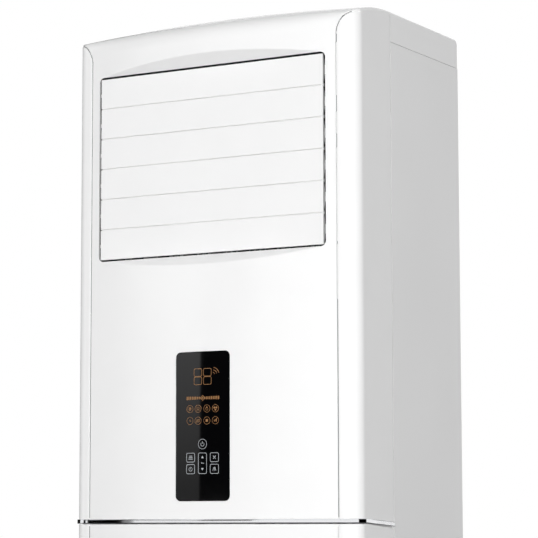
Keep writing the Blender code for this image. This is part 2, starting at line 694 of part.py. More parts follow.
def air_filter():
    """Frame with a coarse support grid, clipped behind the intake grille."""
    width, height = INTAKE_WIDTH + 0.010, INTAKE_HEIGHT + 0.010
    middle = INTAKE_BOTTOM + INTAKE_HEIGHT / 2
    front = WINDOW_Y + SHELL + 2 * SEAT + 0.010
    made = block((-width / 2, front, middle - height / 2), (width / 2, front + FILTER_THICK, middle + height / 2))
    carve(made, block((-width / 2 + 0.010, front - 0.01, middle - height / 2 + 0.010), (width / 2 - 0.010, front + 0.02, middle + height / 2 - 0.010)))
    for i in range(1, FILTER_BARS_X):
        x = -width / 2 + width * i / FILTER_BARS_X
        fuse(made, block((x - 0.0015, front + 0.0018, middle - height / 2 + 0.005), (x + 0.0015, front + 0.0042, middle + height / 2 - 0.005)))
    for i in range(1, FILTER_BARS_Z):
        z = middle - height / 2 + height * i / FILTER_BARS_Z
        fuse(made, block((-width / 2 + 0.005, front + 0.0022, z - 0.0012), (width / 2 - 0.005, front + 0.0038, z + 0.0012)))
    return finish(made, "air_filter", "filter_grey")


# Cabinet


def base_pan():
    tray = block((-HALF, FLANGE_Y, 0), (HALF, BACK_Y, BASE_HEIGHT))
    carve(tray, block((-HALF + 0.0015, FLANGE_Y + 0.0015, 0.0015), (HALF - 0.0015, BACK_Y - 0.0015, BASE_HEIGHT + 0.01)))
    for side in (-1, 1):
        skid = block((side * 0.18 - 0.020, FLANGE_Y + 0.001, 0.001), (side * 0.18 + 0.020, BACK_Y - 0.001, 0.012))
        ear_x = side * (HINGE_X + 0.010)
        ear = block((ear_x - 0.0025, HINGE_Y - 0.006, 0.012), (ear_x + 0.0025, FLANGE_Y + 0.001, HINGE_Z + 0.009))
        fuse(tray, skid, ear)
        carve(tray, rod((ear_x - 0.01, HINGE_Y, HINGE_Z), (ear_x + 0.01, HINGE_Y, HINGE_Z), HINGE_PIN + PIN_PLAY, 16))
    return finish(tray, "base_pan", "galvanised")


def side_outline(side):
    """Plan of a side panel: rear return, outer face, joggle and front return."""
    out, mid, thick = HALF, JOGGLE_X, SHEET
    points = [
        (out - 0.016, BACK_Y), (out, BACK_Y), (out, CABINET_Y), (mid, CABINET_Y), (mid, FLANGE_Y),
        (mid - 0.014, FLANGE_Y), (mid - 0.014, FLANGE_Y + thick), (mid - thick, FLANGE_Y + thick),
        (mid - thick, CABINET_Y + thick), (out - thick, CABINET_Y + thick), (out - thick, BACK_Y - thick), (out - 0.016, BACK_Y - thick),
    ]
    return [(side * x, y) for x, y in points]


def side_panel(name, side):
    panel = prism(side_outline(side), "Z", BASE_HEIGHT + SEAT, CAP_BOTTOM - CAP_SEAM)
    corner = span_block(
        (side * (JOGGLE_X - 0.02), FLANGE_Y - 0.01, BASE_HEIGHT - 0.01),
        (side * (JOGGLE_X + 0.001), FLANGE_Y + 0.009, HINGE_Z + 0.017),
    )
    carve(panel, corner)
    if side > 0:
        x = HALF - SHEET / 2
        carve(panel, rod((x - 0.01, PIPE_CORNER_Y - PIPE_APART, 0.110), (x + 0.01, PIPE_CORNER_Y - PIPE_APART, 0.110), 0.0325, 24))
        carve(panel, rod((x - 0.01, 0.060, 0.090), (x + 0.01, 0.060, 0.090), 0.0105, 16))
    return finish(panel, name, "cabinet_paint")


def back_panel():
    far = BACK_Y - SHEET - SEAT
    low, high = BASE_HEIGHT + SEAT, CAP_BOTTOM - CAP_SEAM
    sheet = block((-HALF + SHEET + SEAT, far - SHEET, low), (HALF - SHEET - SEAT, far, high))
    for z in (0.45, 0.90, 1.35):
        rib = prism([(far - 0.0005, z - 0.016), (far - 0.0045, z - 0.010), (far - 0.0045, z + 0.010), (far - 0.0005, z + 0.016)], "X", -0.20, 0.20)
        fuse(sheet, rib)
    return finish(sheet, "back_panel", "cabinet_paint")


def cap_stations(half):
    """x of the cover's sections: even over the crown, close together over its round side edges."""
    flat = half - EDGE_ROUND
    right = [flat * i / 5 for i in range(6)] + [flat + EDGE_ROUND * math.sin(math.radians(30 * i)) for i in (1, 2, 3)]
    return [-x for x in reversed(right[1:])] + right


def cap_section(x, inset, low, front, far):
    roof = roof_z(x) - inset
    soft = 0.004
    return [
        (front + inset, low), (front + inset, roof), (far - inset - soft, roof),
        (far - inset - soft * 0.3, roof - soft * 0.3), (far - inset, roof - soft), (far - inset, low),
    ]


def top_cover():
    front, far = CABINET_Y, BACK_Y - 0.002
    cap = loft(cap_stations(HALF), lambda x: cap_section(x, 0.0, CAP_BOTTOM, front, far))
    wall = 0.0025
    carve(cap, loft(cap_stations(HALF - wall), lambda x: cap_section(x, wall, CAP_BOTTOM - 0.01, front, far)))
    return finish(soften(cap, 0.0012, 60, 1), "top_cover", "white_gloss")


def pipe_grommet():
    x, y, z = HALF, PIPE_CORNER_Y - PIPE_APART, 0.110
    ring = turned(
        [(0.0245, -0.006), (0.0360, -0.006), (0.0360, -SHEET - SEAT), (0.0320, -SHEET - SEAT), (0.0320, 0.0), (0.0245, 0.0)],
        (x, y, z), (1, 0, 0), 24,
    )
    return finish(ring, "pipe_grommet", "dark_plastic")


def cable_gland():
    x, y, z = HALF, 0.060, 0.090
    ring = turned(
        [(0.0050, -0.012), (0.0130, -0.012), (0.0130, -SHEET - SEAT), (0.0102, -SHEET - SEAT), (0.0102, 0.0), (0.0050, 0.0)],
        (x, y, z), (1, 0, 0), 16,
    )
    return finish(ring, "cable_gland", "dark_plastic")


# Outlet louvres


def louvre_axis(i):
    """Axis of louvre i, counted from the top."""
    z = OUTLET_TOP - LOUVRE_EDGE - LOUVRE_CHORD / 2 - i * LOUVRE_PITCH
    return Vector((0, LOUVRE_AXIS_Y, z))


def crank_offset():
    """From a louvre's axis to its crank pin when closed."""
    return Vector((0, CRANK_ARM * math.cos(CRANK_PHASE), -CRANK_ARM * math.sin(CRANK_PHASE)))


def louvre_body(tongue):
    """A louvre about the origin: flat face to -Y, tongue below, hollowed back, end lugs, pins and crank."""
    half, face = LOUVRE_CHORD / 2, -LOUVRE_BACK
    edge = 0.0030
    lap = face + LAP_BACK
    outline = [
        (face, -half + 0.0008), (face + 0.0008, -half), (face + edge, -half), (lap, -half - tongue),
        (lap + LAP_THICK, -half - tongue), (lap + LAP_THICK, -half + 0.0022),
    ]
    for i in range(5):
        share = i / 4
        z = (share - 0.5) * (LOUVRE_CHORD - 0.006)
        outline.append((face + edge + (LOUVRE_THICK - edge) * math.sin(math.pi * share), z))
    outline += [(face + edge, half), (face + 0.0008, half), (face, half - 0.0008)]
    body = prism(outline, "X", -LOUVRE_HALF, LOUVRE_HALF)
    for side in (-1, 1):
        inner, outer = LOUVRE_HALF - 0.004, LOUVRE_HALF
        lug = [(face + 0.002, -0.011), (0.0, -0.0055)] + [
            (0.0055 * math.sin(t), -0.0055 * math.cos(t)) for t in (math.radians(50), math.radians(130))
        ] + [(0.0, 0.0055), (face + 0.002, 0.011)]
        low, high = sorted((side * inner, side * outer))
        pin = rod((side * inner, 0, 0), (side * (DUCT_HALF_WIDTH + DUCT_WALL), 0, 0), PIN_RADIUS, 8)
        fuse(body, prism(lug, "X", low, high), pin)
    crank = crank_offset()
    across = Vector((0, -crank.z, crank.y)).normalized() * 0.0042
    arm_points = [across, crank + across, crank + crank.normalized() * 0.004, crank - across, -across]
    low, high = -LOUVRE_HALF - CRANK_THICK, -LOUVRE_HALF + 0.001
    arm = prism([(p.y, p.z) for p in arm_points], "X", low, high)
    pin = rod((low + 0.001, crank.y, crank.z), (LOUVRE_LINK_X - LINK_THICK / 2 - 0.001, crank.y, crank.z), PIN_RADIUS * 0.7, 8)
    return fuse(body, arm, pin)


def louvres():
    """The lowest louvre closes on the sill and has no tongue, which keeps it clear of the vane link."""
    first, last = louvre_body(LOUVRE_LAP), louvre_body(0.0)
    made = []
    for i in range(LOUVRES):
        piece = copy_of(first if i < LOUVRES - 1 else last)
        piece.location = louvre_axis(i)
        made.append(finish(piece, f"louvre_{i + 1}", "louvre_white"))
    for pattern in (first, last):
        bpy.data.objects.remove(pattern, do_unlink=True)
    return made


def louvre_link(parent):
    """Upright bar that ties the cranks together, hung on the top louvre's crank pin."""
    top, low = louvre_axis(0) + crank_offset(), louvre_axis(LOUVRES - 1) + crank_offset()
    x0, x1 = LOUVRE_LINK_X - LINK_THICK / 2, LOUVRE_LINK_X + LINK_THICK / 2
    bar = prism(
        rounded(LINK_WIDTH, top.z - low.z + LINK_WIDTH, LINK_WIDTH * 0.45, 2, (top.y, (top.z + low.z) / 2)), "X", x0, x1
    )
    for i in range(LOUVRES):
        pin = louvre_axis(i) + crank_offset()
        carve(bar, rod((x0 - 0.01, pin.y, pin.z), (x1 + 0.01, pin.y, pin.z), PIN_RADIUS * 0.7 + PIN_PLAY, 10))
    return finish(bar, "louvre_link", "dark_plastic", (LOUVRE_LINK_X, top.y, top.z), parent)


def span_block(*points):
    """The box that holds a few points."""
    return block([min(p[k] for p in points) for k in range(3)], [max(p[k] for p in points) for k in range(3)])


def stepper(name, face, axis):
    """Small geared stepper motor behind its output shaft, with two screw ears and a plug."""
    face, axis, behind = Vector(face), Vector(axis), Vector((0, 1, 0))
    across = axis.cross(behind)
    centre = face + behind * STEPPER_OFFSET
    body = rod(centre, centre + axis * STEPPER_LENGTH, STEPPER_RADIUS, 20)
    nose = span_block(face - behind * PIN_RADIUS - across * 0.006, centre + across * 0.006 + axis * 0.003)
    reach = across * (STEPPER_RADIUS + 0.007)
    ears = span_block(centre - reach - behind * 0.0035, centre + reach + behind * 0.0035 + axis * 0.0015)
    plug = span_block(
        centre + behind * (STEPPER_RADIUS - 0.004) - across * 0.007 + axis * 0.005,
        centre + behind * (STEPPER_RADIUS + 0.004) + across * 0.007 + axis * 0.015,
    )
    return finish(fuse(body, nose, ears, plug), name, "galvanised")


# Outlet duct and vanes


def vane_x(i):
    return (i - (VANES - 1) / 2) * VANE_PITCH


def outlet_duct():
    duct = block(
        (-DUCT_HALF_WIDTH - DUCT_WALL, DUCT_FRONT_Y, DUCT_FLOOR - DUCT_WALL),
        (DUCT_HALF_WIDTH + DUCT_WALL, DUCT_BACK_Y, DUCT_ROOF + DUCT_WALL),
    )
    carve(duct, block((-DUCT_HALF_WIDTH, DUCT_FRONT_Y - 0.01, DUCT_FLOOR), (DUCT_HALF_WIDTH, DUCT_BACK_Y + 0.01, DUCT_ROOF)))
    reach = DUCT_HALF_WIDTH + DUCT_WALL + 0.01
    for side in (-1, 1):
        wing = block(
            (min(side * (DUCT_HALF_WIDTH + 0.001), side * (JOGGLE_X - 0.012)), FLANGE_Y + SHEET + SEAT, DUCT_FLOOR),
            (max(side * (DUCT_HALF_WIDTH + 0.001), side * (JOGGLE_X - 0.012)), FLANGE_Y + SHEET + SEAT + DUCT_WALL, DUCT_ROOF),
        )
        fuse(duct, wing)
    motor = louvre_axis(MOTOR_LOUVRE)
    notch = STEPPER_RADIUS + 0.010
    carve(duct, block(
        (DUCT_HALF_WIDTH + DUCT_WALL, motor.y, motor.z - notch), (JOGGLE_X, DUCT_BACK_Y, motor.z + notch)
    ))
    for i in range(LOUVRES):
        axis = louvre_axis(i)
        play = PIN_RADIUS + PIN_PLAY
        slot = [(DUCT_FRONT_Y - 0.01, axis.z + play)] + [
            (axis.y + play * math.sin(t), axis.z + play * math.cos(t)) for t in [math.radians(180 * k / 3) for k in range(4)]
        ] + [(DUCT_FRONT_Y - 0.01, axis.z - play)]
        carve(duct, prism(slot, "X", -reach, -reach + 0.02), prism(slot, "X", reach - 0.02, reach))
    for i in range(VANES):
        x = vane_x(i)
        hole = VANE_PIN + PIN_PLAY
        carve(duct, rod((x, VANE_Y, DUCT_FLOOR - 0.01), (x, VANE_Y, DUCT_FLOOR + 0.01), hole, 6))
        carve(duct, rod((x, VANE_Y, DUCT_ROOF - 0.01), (x, VANE_Y, DUCT_ROOF + 0.01), hole, 6))
    return finish(duct, "outlet_duct", "dark_plastic")


def vane_body():
    """An upright vane about its axis, with its pins and the link pin behind at its foot."""
    half = VANE_CHORD / 2
    outline = [(-VANE_THICK / 2, half), (-VANE_THICK / 2, -half + 0.002), (0, -half), (VANE_THICK / 2, -half + 0.002), (VANE_THICK / 2, half)]
    body = prism(outline, "Z", VANE_FOOT, VANE_HEAD)
    pivot = rod((0, 0, DUCT_FLOOR - DUCT_WALL), (0, 0, DUCT_ROOF + DUCT_WALL), VANE_PIN, 6)
    pin = rod((0, CRANK_ARM, VANE_LINK_Z - LINK_THICK / 2 - 0.001), (0, CRANK_ARM, VANE_FOOT + 0.008), PIN_RADIUS * 0.7, 6)
    return moved(fuse(body, pivot, pin), (0, 0, -VANE_FOOT))


def vanes():
    first = vane_body()
    made = []
    for i in range(VANES):
        piece = copy_of(first)
        piece.location = (vane_x(i), VANE_Y, VANE_FOOT)
        made.append(finish(piece, f"vane_{i + 1}", "dark_plastic"))
    bpy.data.objects.remove(first, do_unlink=True)
    return made


def vane_link(parent):
    """Level bar that ties the vanes together, hung on the first vane's link pin."""
    y, low, high = VANE_Y + CRANK_ARM, VANE_LINK_Z - LINK_THICK / 2, VANE_LINK_Z + LINK_THICK / 2
    span = vane_x(VANES - 1) - vane_x(0)
    bar = prism(rounded(span + LINK_WIDTH, LINK_WIDTH, LINK_WIDTH * 0.45, 2, (0, y)), "Z", low, high)
    for i in range(VANES):
        carve(bar, rod((vane_x(i), y, low - 0.01), (vane_x(i), y, high + 0.01), PIN_RADIUS * 0.7 + PIN_PLAY, 8))
    return finish(bar, "vane_link", "dark_plastic", (vane_x(0), y, VANE_LINK_Z), parent)


# Blower


def scroll_outline(grow, top):
    """Spiral that widens from the tongue round to the outlet side, then runs straight up."""
    start, sweep = TONGUE_ANGLE, 360 - TONGUE_ANGLE
    points = []
    for i in range(25):
        share = i / 24
        turn = math.radians(start + sweep * share)
        radius = SCROLL_START + (SCROLL_END - SCROLL_START) * share + grow
        points.append((radius * math.cos(turn), FAN_HEIGHT + radius * math.sin(turn)))
    points[0] = (points[0][0] - grow, points[0][1])
    return points + [(SCROLL_END + grow, top), (points[0][0], top)]


def blower_housing():
    top = DECK_HEIGHT - SHEET - SEAT
    wall = SCROLL_WALL
    body = prism(scroll_outline(wall, top), "Y", SCROLL_FRONT_Y, SCROLL_BACK_Y)
    carve(body, prism(scroll_outline(0.0, top + 0.01), "Y", SCROLL_FRONT_Y + wall, SCROLL_BACK_Y - wall))
    carve(body, rod((0, SCROLL_FRONT_Y - 0.01, FAN_HEIGHT), (0, SCROLL_FRONT_Y + 0.01, FAN_HEIGHT), INLET_RADIUS + INLET_FLARE + 0.002, 40))
    carve(body, rod((0, SCROLL_BACK_Y - 0.01, FAN_HEIGHT), (0, SCROLL_BACK_Y + 0.01, FAN_HEIGHT), 0.040, 24))
    for side in (-1, 1):
        leg = block((side * 0.15 - 0.015, SCROLL_FRONT_Y + 0.02, 0.012 + SEAT), (side * 0.15 + 0.015, SCROLL_BACK_Y - 0.02, FAN_HEIGHT - 0.10))
        carve(leg, block((side * 0.15 - 0.02, SCROLL_FRONT_Y + 0.04, 0.03), (side * 0.15 + 0.02, SCROLL_BACK_Y - 0.04, 0.15)))
        carve(leg, prism(scroll_outline(wall * 0.5, top), "Y", SCROLL_FRONT_Y, SCROLL_BACK_Y))
        fuse(body, leg)
    return finish(body, "blower_housing", "galvanised")


def inlet_ring():
    wide, throat, flare, thick = INLET_RADIUS + INLET_FLARE + 0.014, INLET_RADIUS, INLET_FLARE, 0.0015
    profile = [(wide, 0.0), (wide, -thick)]
    for i in range(3):
        turn = math.radians(90 * i / 2)
        profile.append((throat + flare * (1 - math.sin(turn)), -thick + flare * (1 - math.cos(turn))))
    for i in range(3):
        turn = math.radians(90 - 90 * i / 2)
        bend = flare - thick
        profile.append((throat + flare - bend * math.sin(turn), -thick + flare - bend * math.cos(turn)))
    ring = turned(profile, (0, SCROLL_FRONT_Y - SEAT, FAN_HEIGHT), (0, 1, 0), 32)
    return finish(ring, "inlet_ring", "galvanised")


def fan_blade_outline(i):
    """One forward-curved blade in the wheel's plane."""
    turn = 2 * math.pi * i / FAN_BLADES
    points = []
    for side in (-1, 1):
        steps = range(3) if side < 0 else reversed(range(3))
        for k in steps:
            share = k / 2
            radius = FAN_INNER + (FAN_RADIUS - 0.001 - FAN_INNER) * share
            lean = turn + 0.16 * share**2 + side * 0.0007 / radius
            points.append((radius * math.cos(lean), FAN_HEIGHT + radius * math.sin(lean)))
    return points


def wheel_plate():
    """Back plate of the wheel with the hub that clamps the shaft."""
    hub = 0.020
    profile = [
        (SHAFT_RADIUS + SEAT, -hub), (hub, -hub), (hub * 1.2, -FAN_SHEET), (FAN_RADIUS, -FAN_SHEET),
        (FAN_RADIUS, 0), (SHAFT_RADIUS + SEAT, 0),
    ]
    plate = turned(profile, (0, WHEEL_BACK_Y, FAN_HEIGHT), (0, 1, 0), 44)
    return finish(plate, "wheel_plate", "galvanised")


def fan_wheel():
    """Forward-curved blades between two rings."""
    front, back = WHEEL_FRONT_Y, WHEEL_BACK_Y - FAN_SHEET - SEAT
    inner = FAN_INNER + 0.004
    rings = [
        turned(
            [(inner, 0), (inner, FAN_SHEET), (FAN_RADIUS, FAN_SHEET), (FAN_RADIUS, 0)],
            (0, start, FAN_HEIGHT), (0, 1, 0), 44,
        )
        for start in (front, back - FAN_SHEET)
    ]
    low, high = front + FAN_SHEET * 0.4, back - FAN_SHEET * 0.4
    blades = [prism(fan_blade_outline(i), "Y", low, high) for i in range(FAN_BLADES)]
    wheel = fuse(rings[0], rings[1], *blades)
    return finish(wheel, "fan_wheel", "galvanised", (0, WHEEL_FRONT_Y + FAN_WIDTH / 2, FAN_HEIGHT))


def motor_bracket():
    outline = rounded(0.230, 0.230, 0.030, 4, (0, FAN_HEIGHT))
    plate = prism(outline, "Y", BRACKET_Y, BRACKET_Y + BRACKET_THICK)
    carve(plate, rod((0, BRACKET_Y - 0.01, FAN_HEIGHT), (0, BRACKET_Y + 0.01, FAN_HEIGHT), 0.030, 24))
    return finish(plate, "motor_bracket", "galvanised")


def fan_motor():
    """Motor can with its end bells, feet and bore for the shaft."""
    y = MOTOR_Y
    profile = [(0.0, 0.0), (0.026, 0.0), (0.050, 0.004), (MOTOR_RADIUS, 0.012), (MOTOR_RADIUS, MOTOR_LENGTH - 0.010), (0.060, MOTOR_LENGTH), (0.0, MOTOR_LENGTH)]
    body = turned(profile, (0, y, FAN_HEIGHT), (0, 1, 0), 28)
    for k in range(4):
        turn = math.radians(45 + 90 * k)
        x, z = math.cos(turn), math.sin(turn)
        foot = rod((0.088 * x, y, FAN_HEIGHT + 0.088 * z), (0.088 * x, y + 0.020, FAN_HEIGHT + 0.088 * z), 0.014, 8)
        fuse(body, foot)
    carve(body, rod((0, y - 0.01, FAN_HEIGHT), (0, y + MOTOR_LENGTH * 0.5, FAN_HEIGHT), SHAFT_RADIUS + PIN_PLAY, 16))
    return finish(body, "fan_motor", "aluminium")


def fan_shaft():
    start, end = WHEEL_BACK_Y - 0.032, MOTOR_Y + MOTOR_LENGTH * 0.5 - SEAT
    return finish(rod((0, start, FAN_HEIGHT), (0, end, FAN_HEIGHT), SHAFT_RADIUS, 16), "fan_shaft", "galvanised")


def fan_nut():
    face = WHEEL_BACK_Y - 0.020 - SEAT
    nut = rod((0, face - 0.008, FAN_HEIGHT), (0, face, FAN_HEIGHT), 0.0110, 6)
    carve(nut, rod((0, face - 0.02, FAN_HEIGHT), (0, face + 0.02, FAN_HEIGHT), SHAFT_RADIUS + SEAT, 16))
    return finish(nut, "fan_nut", "brass")


def blower_deck():
    deck = block((-INNER_X + SEAT, FLANGE_Y + SHEET + SEAT, DECK_HEIGHT - DECK_FLANGE), (INNER_X - SEAT, deck_back_y(), DECK_HEIGHT))
    inside = 0.0012
    carve(deck, block((-INNER_X + SEAT + inside, FLANGE_Y + SHEET + SEAT + inside, DECK_HEIGHT - DECK_FLANGE - 0.01), (INNER_X - SEAT - inside, deck_back_y() - inside, DECK_HEIGHT - SHEET)))
    left = SCROLL_START * math.cos(math.radians(TONGUE_ANGLE))
    hole = block((left + 0.004, SCROLL_FRONT_Y + 0.004, DECK_HEIGHT - 0.01), (SCROLL_END - 0.004, SCROLL_BACK_Y - 0.004, DECK_HEIGHT + 0.01))
    pipes = prism(rounded(0.030, PIPE_APART + 0.032, 0.010, 3, (PIPE_CORNER_X, PIPE_CORNER_Y - PIPE_APART / 2)), "Z", DECK_HEIGHT - 0.01, DECK_HEIGHT + 0.01)
    hose = rod((-PIPE_CORNER_X, PIPE_CORNER_Y, DECK_HEIGHT - 0.01), (-PIPE_CORNER_X, PIPE_CORNER_Y, DECK_HEIGHT + 0.01), HOSE_RADIUS + 0.002, 16)
    carve(deck, hole, pipes, hose)
    return finish(deck, "blower_deck", "galvanised")


def deck_back_y():
    return BACK_Y - 2 * SHEET - SEAT - 0.0045


# Evaporator


def coil_place():
    """Frame of the tilted coil: its foot's middle, with Z up along the slab."""
    return Matrix.Translation((0, COIL_FOOT_Y, COIL_FOOT_Z)) @ Matrix.Rotation(-TILT, 4, "X")


def evaporator_fins():
    """Fin block with deep grooves on both faces, so that the fins stand free."""
    half, thick = COIL_WIDTH / 2, COIL_THICK / 2
    count = int(COIL_WIDTH / FIN_PITCH)
    front, back = [], []
    for i in range(count):
        x = -half + FIN_PITCH * i
        groove = (x + FIN_PITCH - FIN_GROOVE, x + FIN_PITCH)
        if i == count - 1:
            groove = (half, half)
        front += [(x, -thick), (groove[0], -thick)]
        back += [(x, thick), (groove[0], thick)]
        if i < count - 1:
            front += [(groove[0], -thick + FIN_CUT), (groove[1], -thick + FIN_CUT)]
            back += [(groove[0], thick - FIN_CUT), (groove[1], thick - FIN_CUT)]
    block_of_fins = prism(front + back[::-1], "Z", 0.0, COIL_LENGTH)
    block_of_fins.data.transform(coil_place())
    return finish(block_of_fins, "evaporator_fins", "aluminium")


def bend_pitch():
    return COIL_LENGTH / (BENDS + 1)


def coil_plate(name, side):
    """End plate with its flanges and the return bends of the tubes."""
    inner = COIL_WIDTH / 2 + SEAT
    low, high = sorted((side * inner, side * (inner + END_PLATE)))
    plate = block((low, -COIL_THICK / 2 - 0.006, -0.004), (high, COIL_THICK / 2 + 0.006, COIL_LENGTH + 0.004))
    edge_low, edge_high = sorted((side * inner, side * (inner + 0.012)))
    for y in (-COIL_THICK / 2 - 0.006, COIL_THICK / 2 + 0.0045):
        fuse(plate, block((edge_low, y, -0.004), (edge_high, y + END_PLATE, COIL_LENGTH + 0.004)))
    for i in range(BENDS):
        z, reach = bend_pitch() * (i + 1), 0.0125
        y0, y1 = (-0.0125, 0.0125) if i % 2 else (0.0125, -0.0125)
        route = []
        for k in range(4):
            turn = math.radians(180 * k / 3)
            route.append((side * (inner + END_PLATE + 0.005 + reach * math.sin(turn)), (y0 + y1) / 2 + (y0 - y1) / 2 * math.cos(turn), z))
        route = [(side * (inner + 0.0008), y0, z)] + route + [(side * (inner + 0.0008), y1, z)]
        fuse(plate, tube(route, BEND_RADIUS, 6))
    plate.data.transform(coil_place())
    return finish(plate, name, "galvanised")


def coil_point(x, y, z):
    return coil_place() @ Vector((x, y, z))


def coil_rail():
    """Angle across the cabinet that ties the coil's head to the back panel."""
    head = coil_point(0, COIL_THICK / 2 + 0.006, COIL_LENGTH)
    back = BACK_Y - 2 * SHEET - 2 * SEAT
    outline = [
        (back, head.z + 0.012), (back - 0.0015, head.z + 0.012), (back - 0.0015, head.z - 0.0065),
        (head.y + SEAT * 2, head.z - 0.0065), (head.y + SEAT * 2, head.z - 0.0080), (back, head.z - 0.0080),
    ]
    half = COIL_WIDTH / 2 + 0.012
    return finish(prism(outline, "X", -half, half), "coil_rail", "galvanised")


def drain_pan():
    foot = coil_point(0, 0, -0.004)
    high = foot.z + 0.010
    low = high - PAN_HEIGHT
    front, back = FLANGE_Y + SHEET + SEAT, -0.030
    pan = block((-INNER_X + SEAT, front, low), (INNER_X - SEAT, back, high))
    floor = pan_floor()
    carve(pan, block((-INNER_X + SEAT + PAN_WALL, front + PAN_WALL, floor), (INNER_X - SEAT - PAN_WALL, back - PAN_WALL, high + 0.01)))
    spout_y = back - 0.020
    spout = rod((-PIPE_CORNER_X, spout_y, low - 0.022), (-PIPE_CORNER_X, spout_y, low + 0.001), HOSE_RADIUS - 0.0025, 16)
    fuse(pan, spout)
    carve(pan, rod((-PIPE_CORNER_X, spout_y, low - 0.03), (-PIPE_CORNER_X, spout_y, floor + 0.01), HOSE_RADIUS - 0.0045, 16))
    return finish(pan, "drain_pan", "foam_duct")


def pan_floor():
    """Top of the pan's floor, just under the lowest corner of the tilted end plates."""
    corner = coil_point(0, COIL_THICK / 2 + 0.006, -0.004)
    return corner.z - SEAT


def pan_low():
    return coil_point(0, 0, -0.004).z + 0.010 - PAN_HEIGHT


def drain_hose():
    top = pan_low() - SEAT
    start = (-PIPE_CORNER_X, -0.050, top)
    route = smooth_route(
        [start, (-PIPE_CORNER_X, -0.050, top - 0.080), (-PIPE_CORNER_X, PIPE_CORNER_Y, top - 0.240), (-PIPE_CORNER_X, PIPE_CORNER_Y, 0.070)],
        0.040, 4,
    )
    hose = tube(route, HOSE_RADIUS, 8)
    bore = rod((start[0], start[1], top - 0.030), (start[0], start[1], top + 0.01), HOSE_RADIUS - 0.0025 + SEAT, 16)
    return finish(carve(hose, bore), "drain_hose", "hose_grey")


def coil_pipe(name, radius, bends_below, y, drop, shade):
    """Pipe from the coil's end plate, back and down the rear corner to its flare nut."""
    start = coil_point(COIL_WIDTH / 2 + END_PLATE + 2 * SEAT, 0, bend_pitch() * (bends_below + 0.5))
    x = PIPE_CORNER_X
    route = smooth_route(
        [start, start + Vector((x - start.x, 0, 0)), (x, y, start.z - drop), (x, y, PIPE_END_Z)], PIPE_BEND, 5
    )
    pipe = tube(route, radius, 8)
    nut = rod((x, y, PIPE_END_Z - 0.004), (x, y, PIPE_END_Z + 0.020), radius * 1.75, 6)
    return finish(fuse(pipe, nut), name, shade)


# Control box


def control_box():
    low = DECK_HEIGHT + SEAT
    half, back = BOX_WIDTH / 2, BOX_FRONT_Y + BOX_DEPTH
    tray = block((-half, BOX_FRONT_Y, low), (half, back, low + BOX_HEIGHT))
    carve(tray, block((-half + SHEET, BOX_FRONT_Y - 0.01, low + SHEET), (half - SHEET, back - SHEET, low + BOX_HEIGHT - SHEET)))
    for x, z in ((-0.16, 0.05), (-0.16, 0.25), (0.02, 0.05), (0.02, 0.25)):
        fuse(tray, rod((x, back - SHEET - 0.012, low + z), (x, back - SHEET / 2, low + z), 0.004, 12))
    return finish(tray, "control_box", "galvanised")


def control_box_cover():
    low = DECK_HEIGHT + SEAT
    half = BOX_WIDTH / 2
    lid = block((-half, BOX_FRONT_Y - SEAT - SHEET, low), (half, BOX_FRONT_Y - SEAT, low + BOX_HEIGHT))
    inner = half - SHEET - SEAT
    lip = block((-inner, BOX_FRONT_Y - SEAT - SHEET / 2, low + SHEET + SEAT), (inner, BOX_FRONT_Y + 0.006, low + BOX_HEIGHT - SHEET - SEAT))
    carve(lip, block((-inner + 0.001, BOX_FRONT_Y - SEAT, low + SHEET + SEAT + 0.001), (inner - 0.001, BOX_FRONT_Y + 0.02, low + BOX_HEIGHT - SHEET - SEAT - 0.001)))
    return finish(fuse(lid, lip), "control_box_cover", "galvanised")


def board_front_y():
    return BOX_FRONT_Y + BOX_DEPTH - SHEET - 0.012 - SEAT - BOARD_THICK


def main_board():
    low, front = DECK_HEIGHT + SEAT, board_front_y()
    board = block((-0.175, front, low + 0.035), (0.035, front + BOARD_THICK, low + 0.265))
    parts = [
        block((-0.160, front - 0.016, low + 0.060), (-0.130, front + 0.0004, low + 0.086)),
        block((-0.120, front - 0.016, low + 0.060), (-0.090, front + 0.0004, low + 0.086)),
        block((-0.150, front - 0.022, low + 0.190), (-0.110, front + 0.0004, low + 0.235)),
        block((-0.070, front - 0.003, low + 0.130), (-0.035, front + 0.0004, low + 0.165)),
        rod((-0.020, front - 0.030, low + 0.220), (-0.020, front + 0.0004, low + 0.220), 0.011, 16),
        rod((0.010, front - 0.022, low + 0.180), (0.010, front + 0.0004, low + 0.180), 0.008, 16),
        block((-0.160, front - 0.010, low + 0.110), (-0.148, front + 0.0004, low + 0.170)),
    ]
    return finish(fuse(board, *parts), "main_board", "board_green")


def terminal_block():
    low, back = DECK_HEIGHT + 2 * SEAT + SHEET, BOX_FRONT_Y + BOX_DEPTH - SHEET - SEAT
    right, width = BOX_WIDTH / 2 - 0.020, 0.110
    body = block((right - width, back - 0.028, low + 0.020), (right, back, low + 0.060))
    for i in range(6):
        x = right - width + width * (i + 0.5) / 6
        carve(body, block((x - 0.0065, back - 0.040, low + 0.028), (x + 0.0065, back - 0.014, low + 0.052)))
    return finish(body, "terminal_block", "dark_plastic")


def run_capacitor():
    low, back = DECK_HEIGHT + SEAT, BOX_FRONT_Y + BOX_DEPTH - SHEET - SEAT
    x = BOX_WIDTH / 2 - 0.075
    can = rod((x, back - 0.024, low + 0.130), (x, back - 0.024, low + 0.215), 0.0195, 24)
    clip = block((x - 0.027, back - 0.020, low + 0.160), (x + 0.027, back, low + 0.178))
    return finish(fuse(can, clip), "run_capacitor", "aluminium")


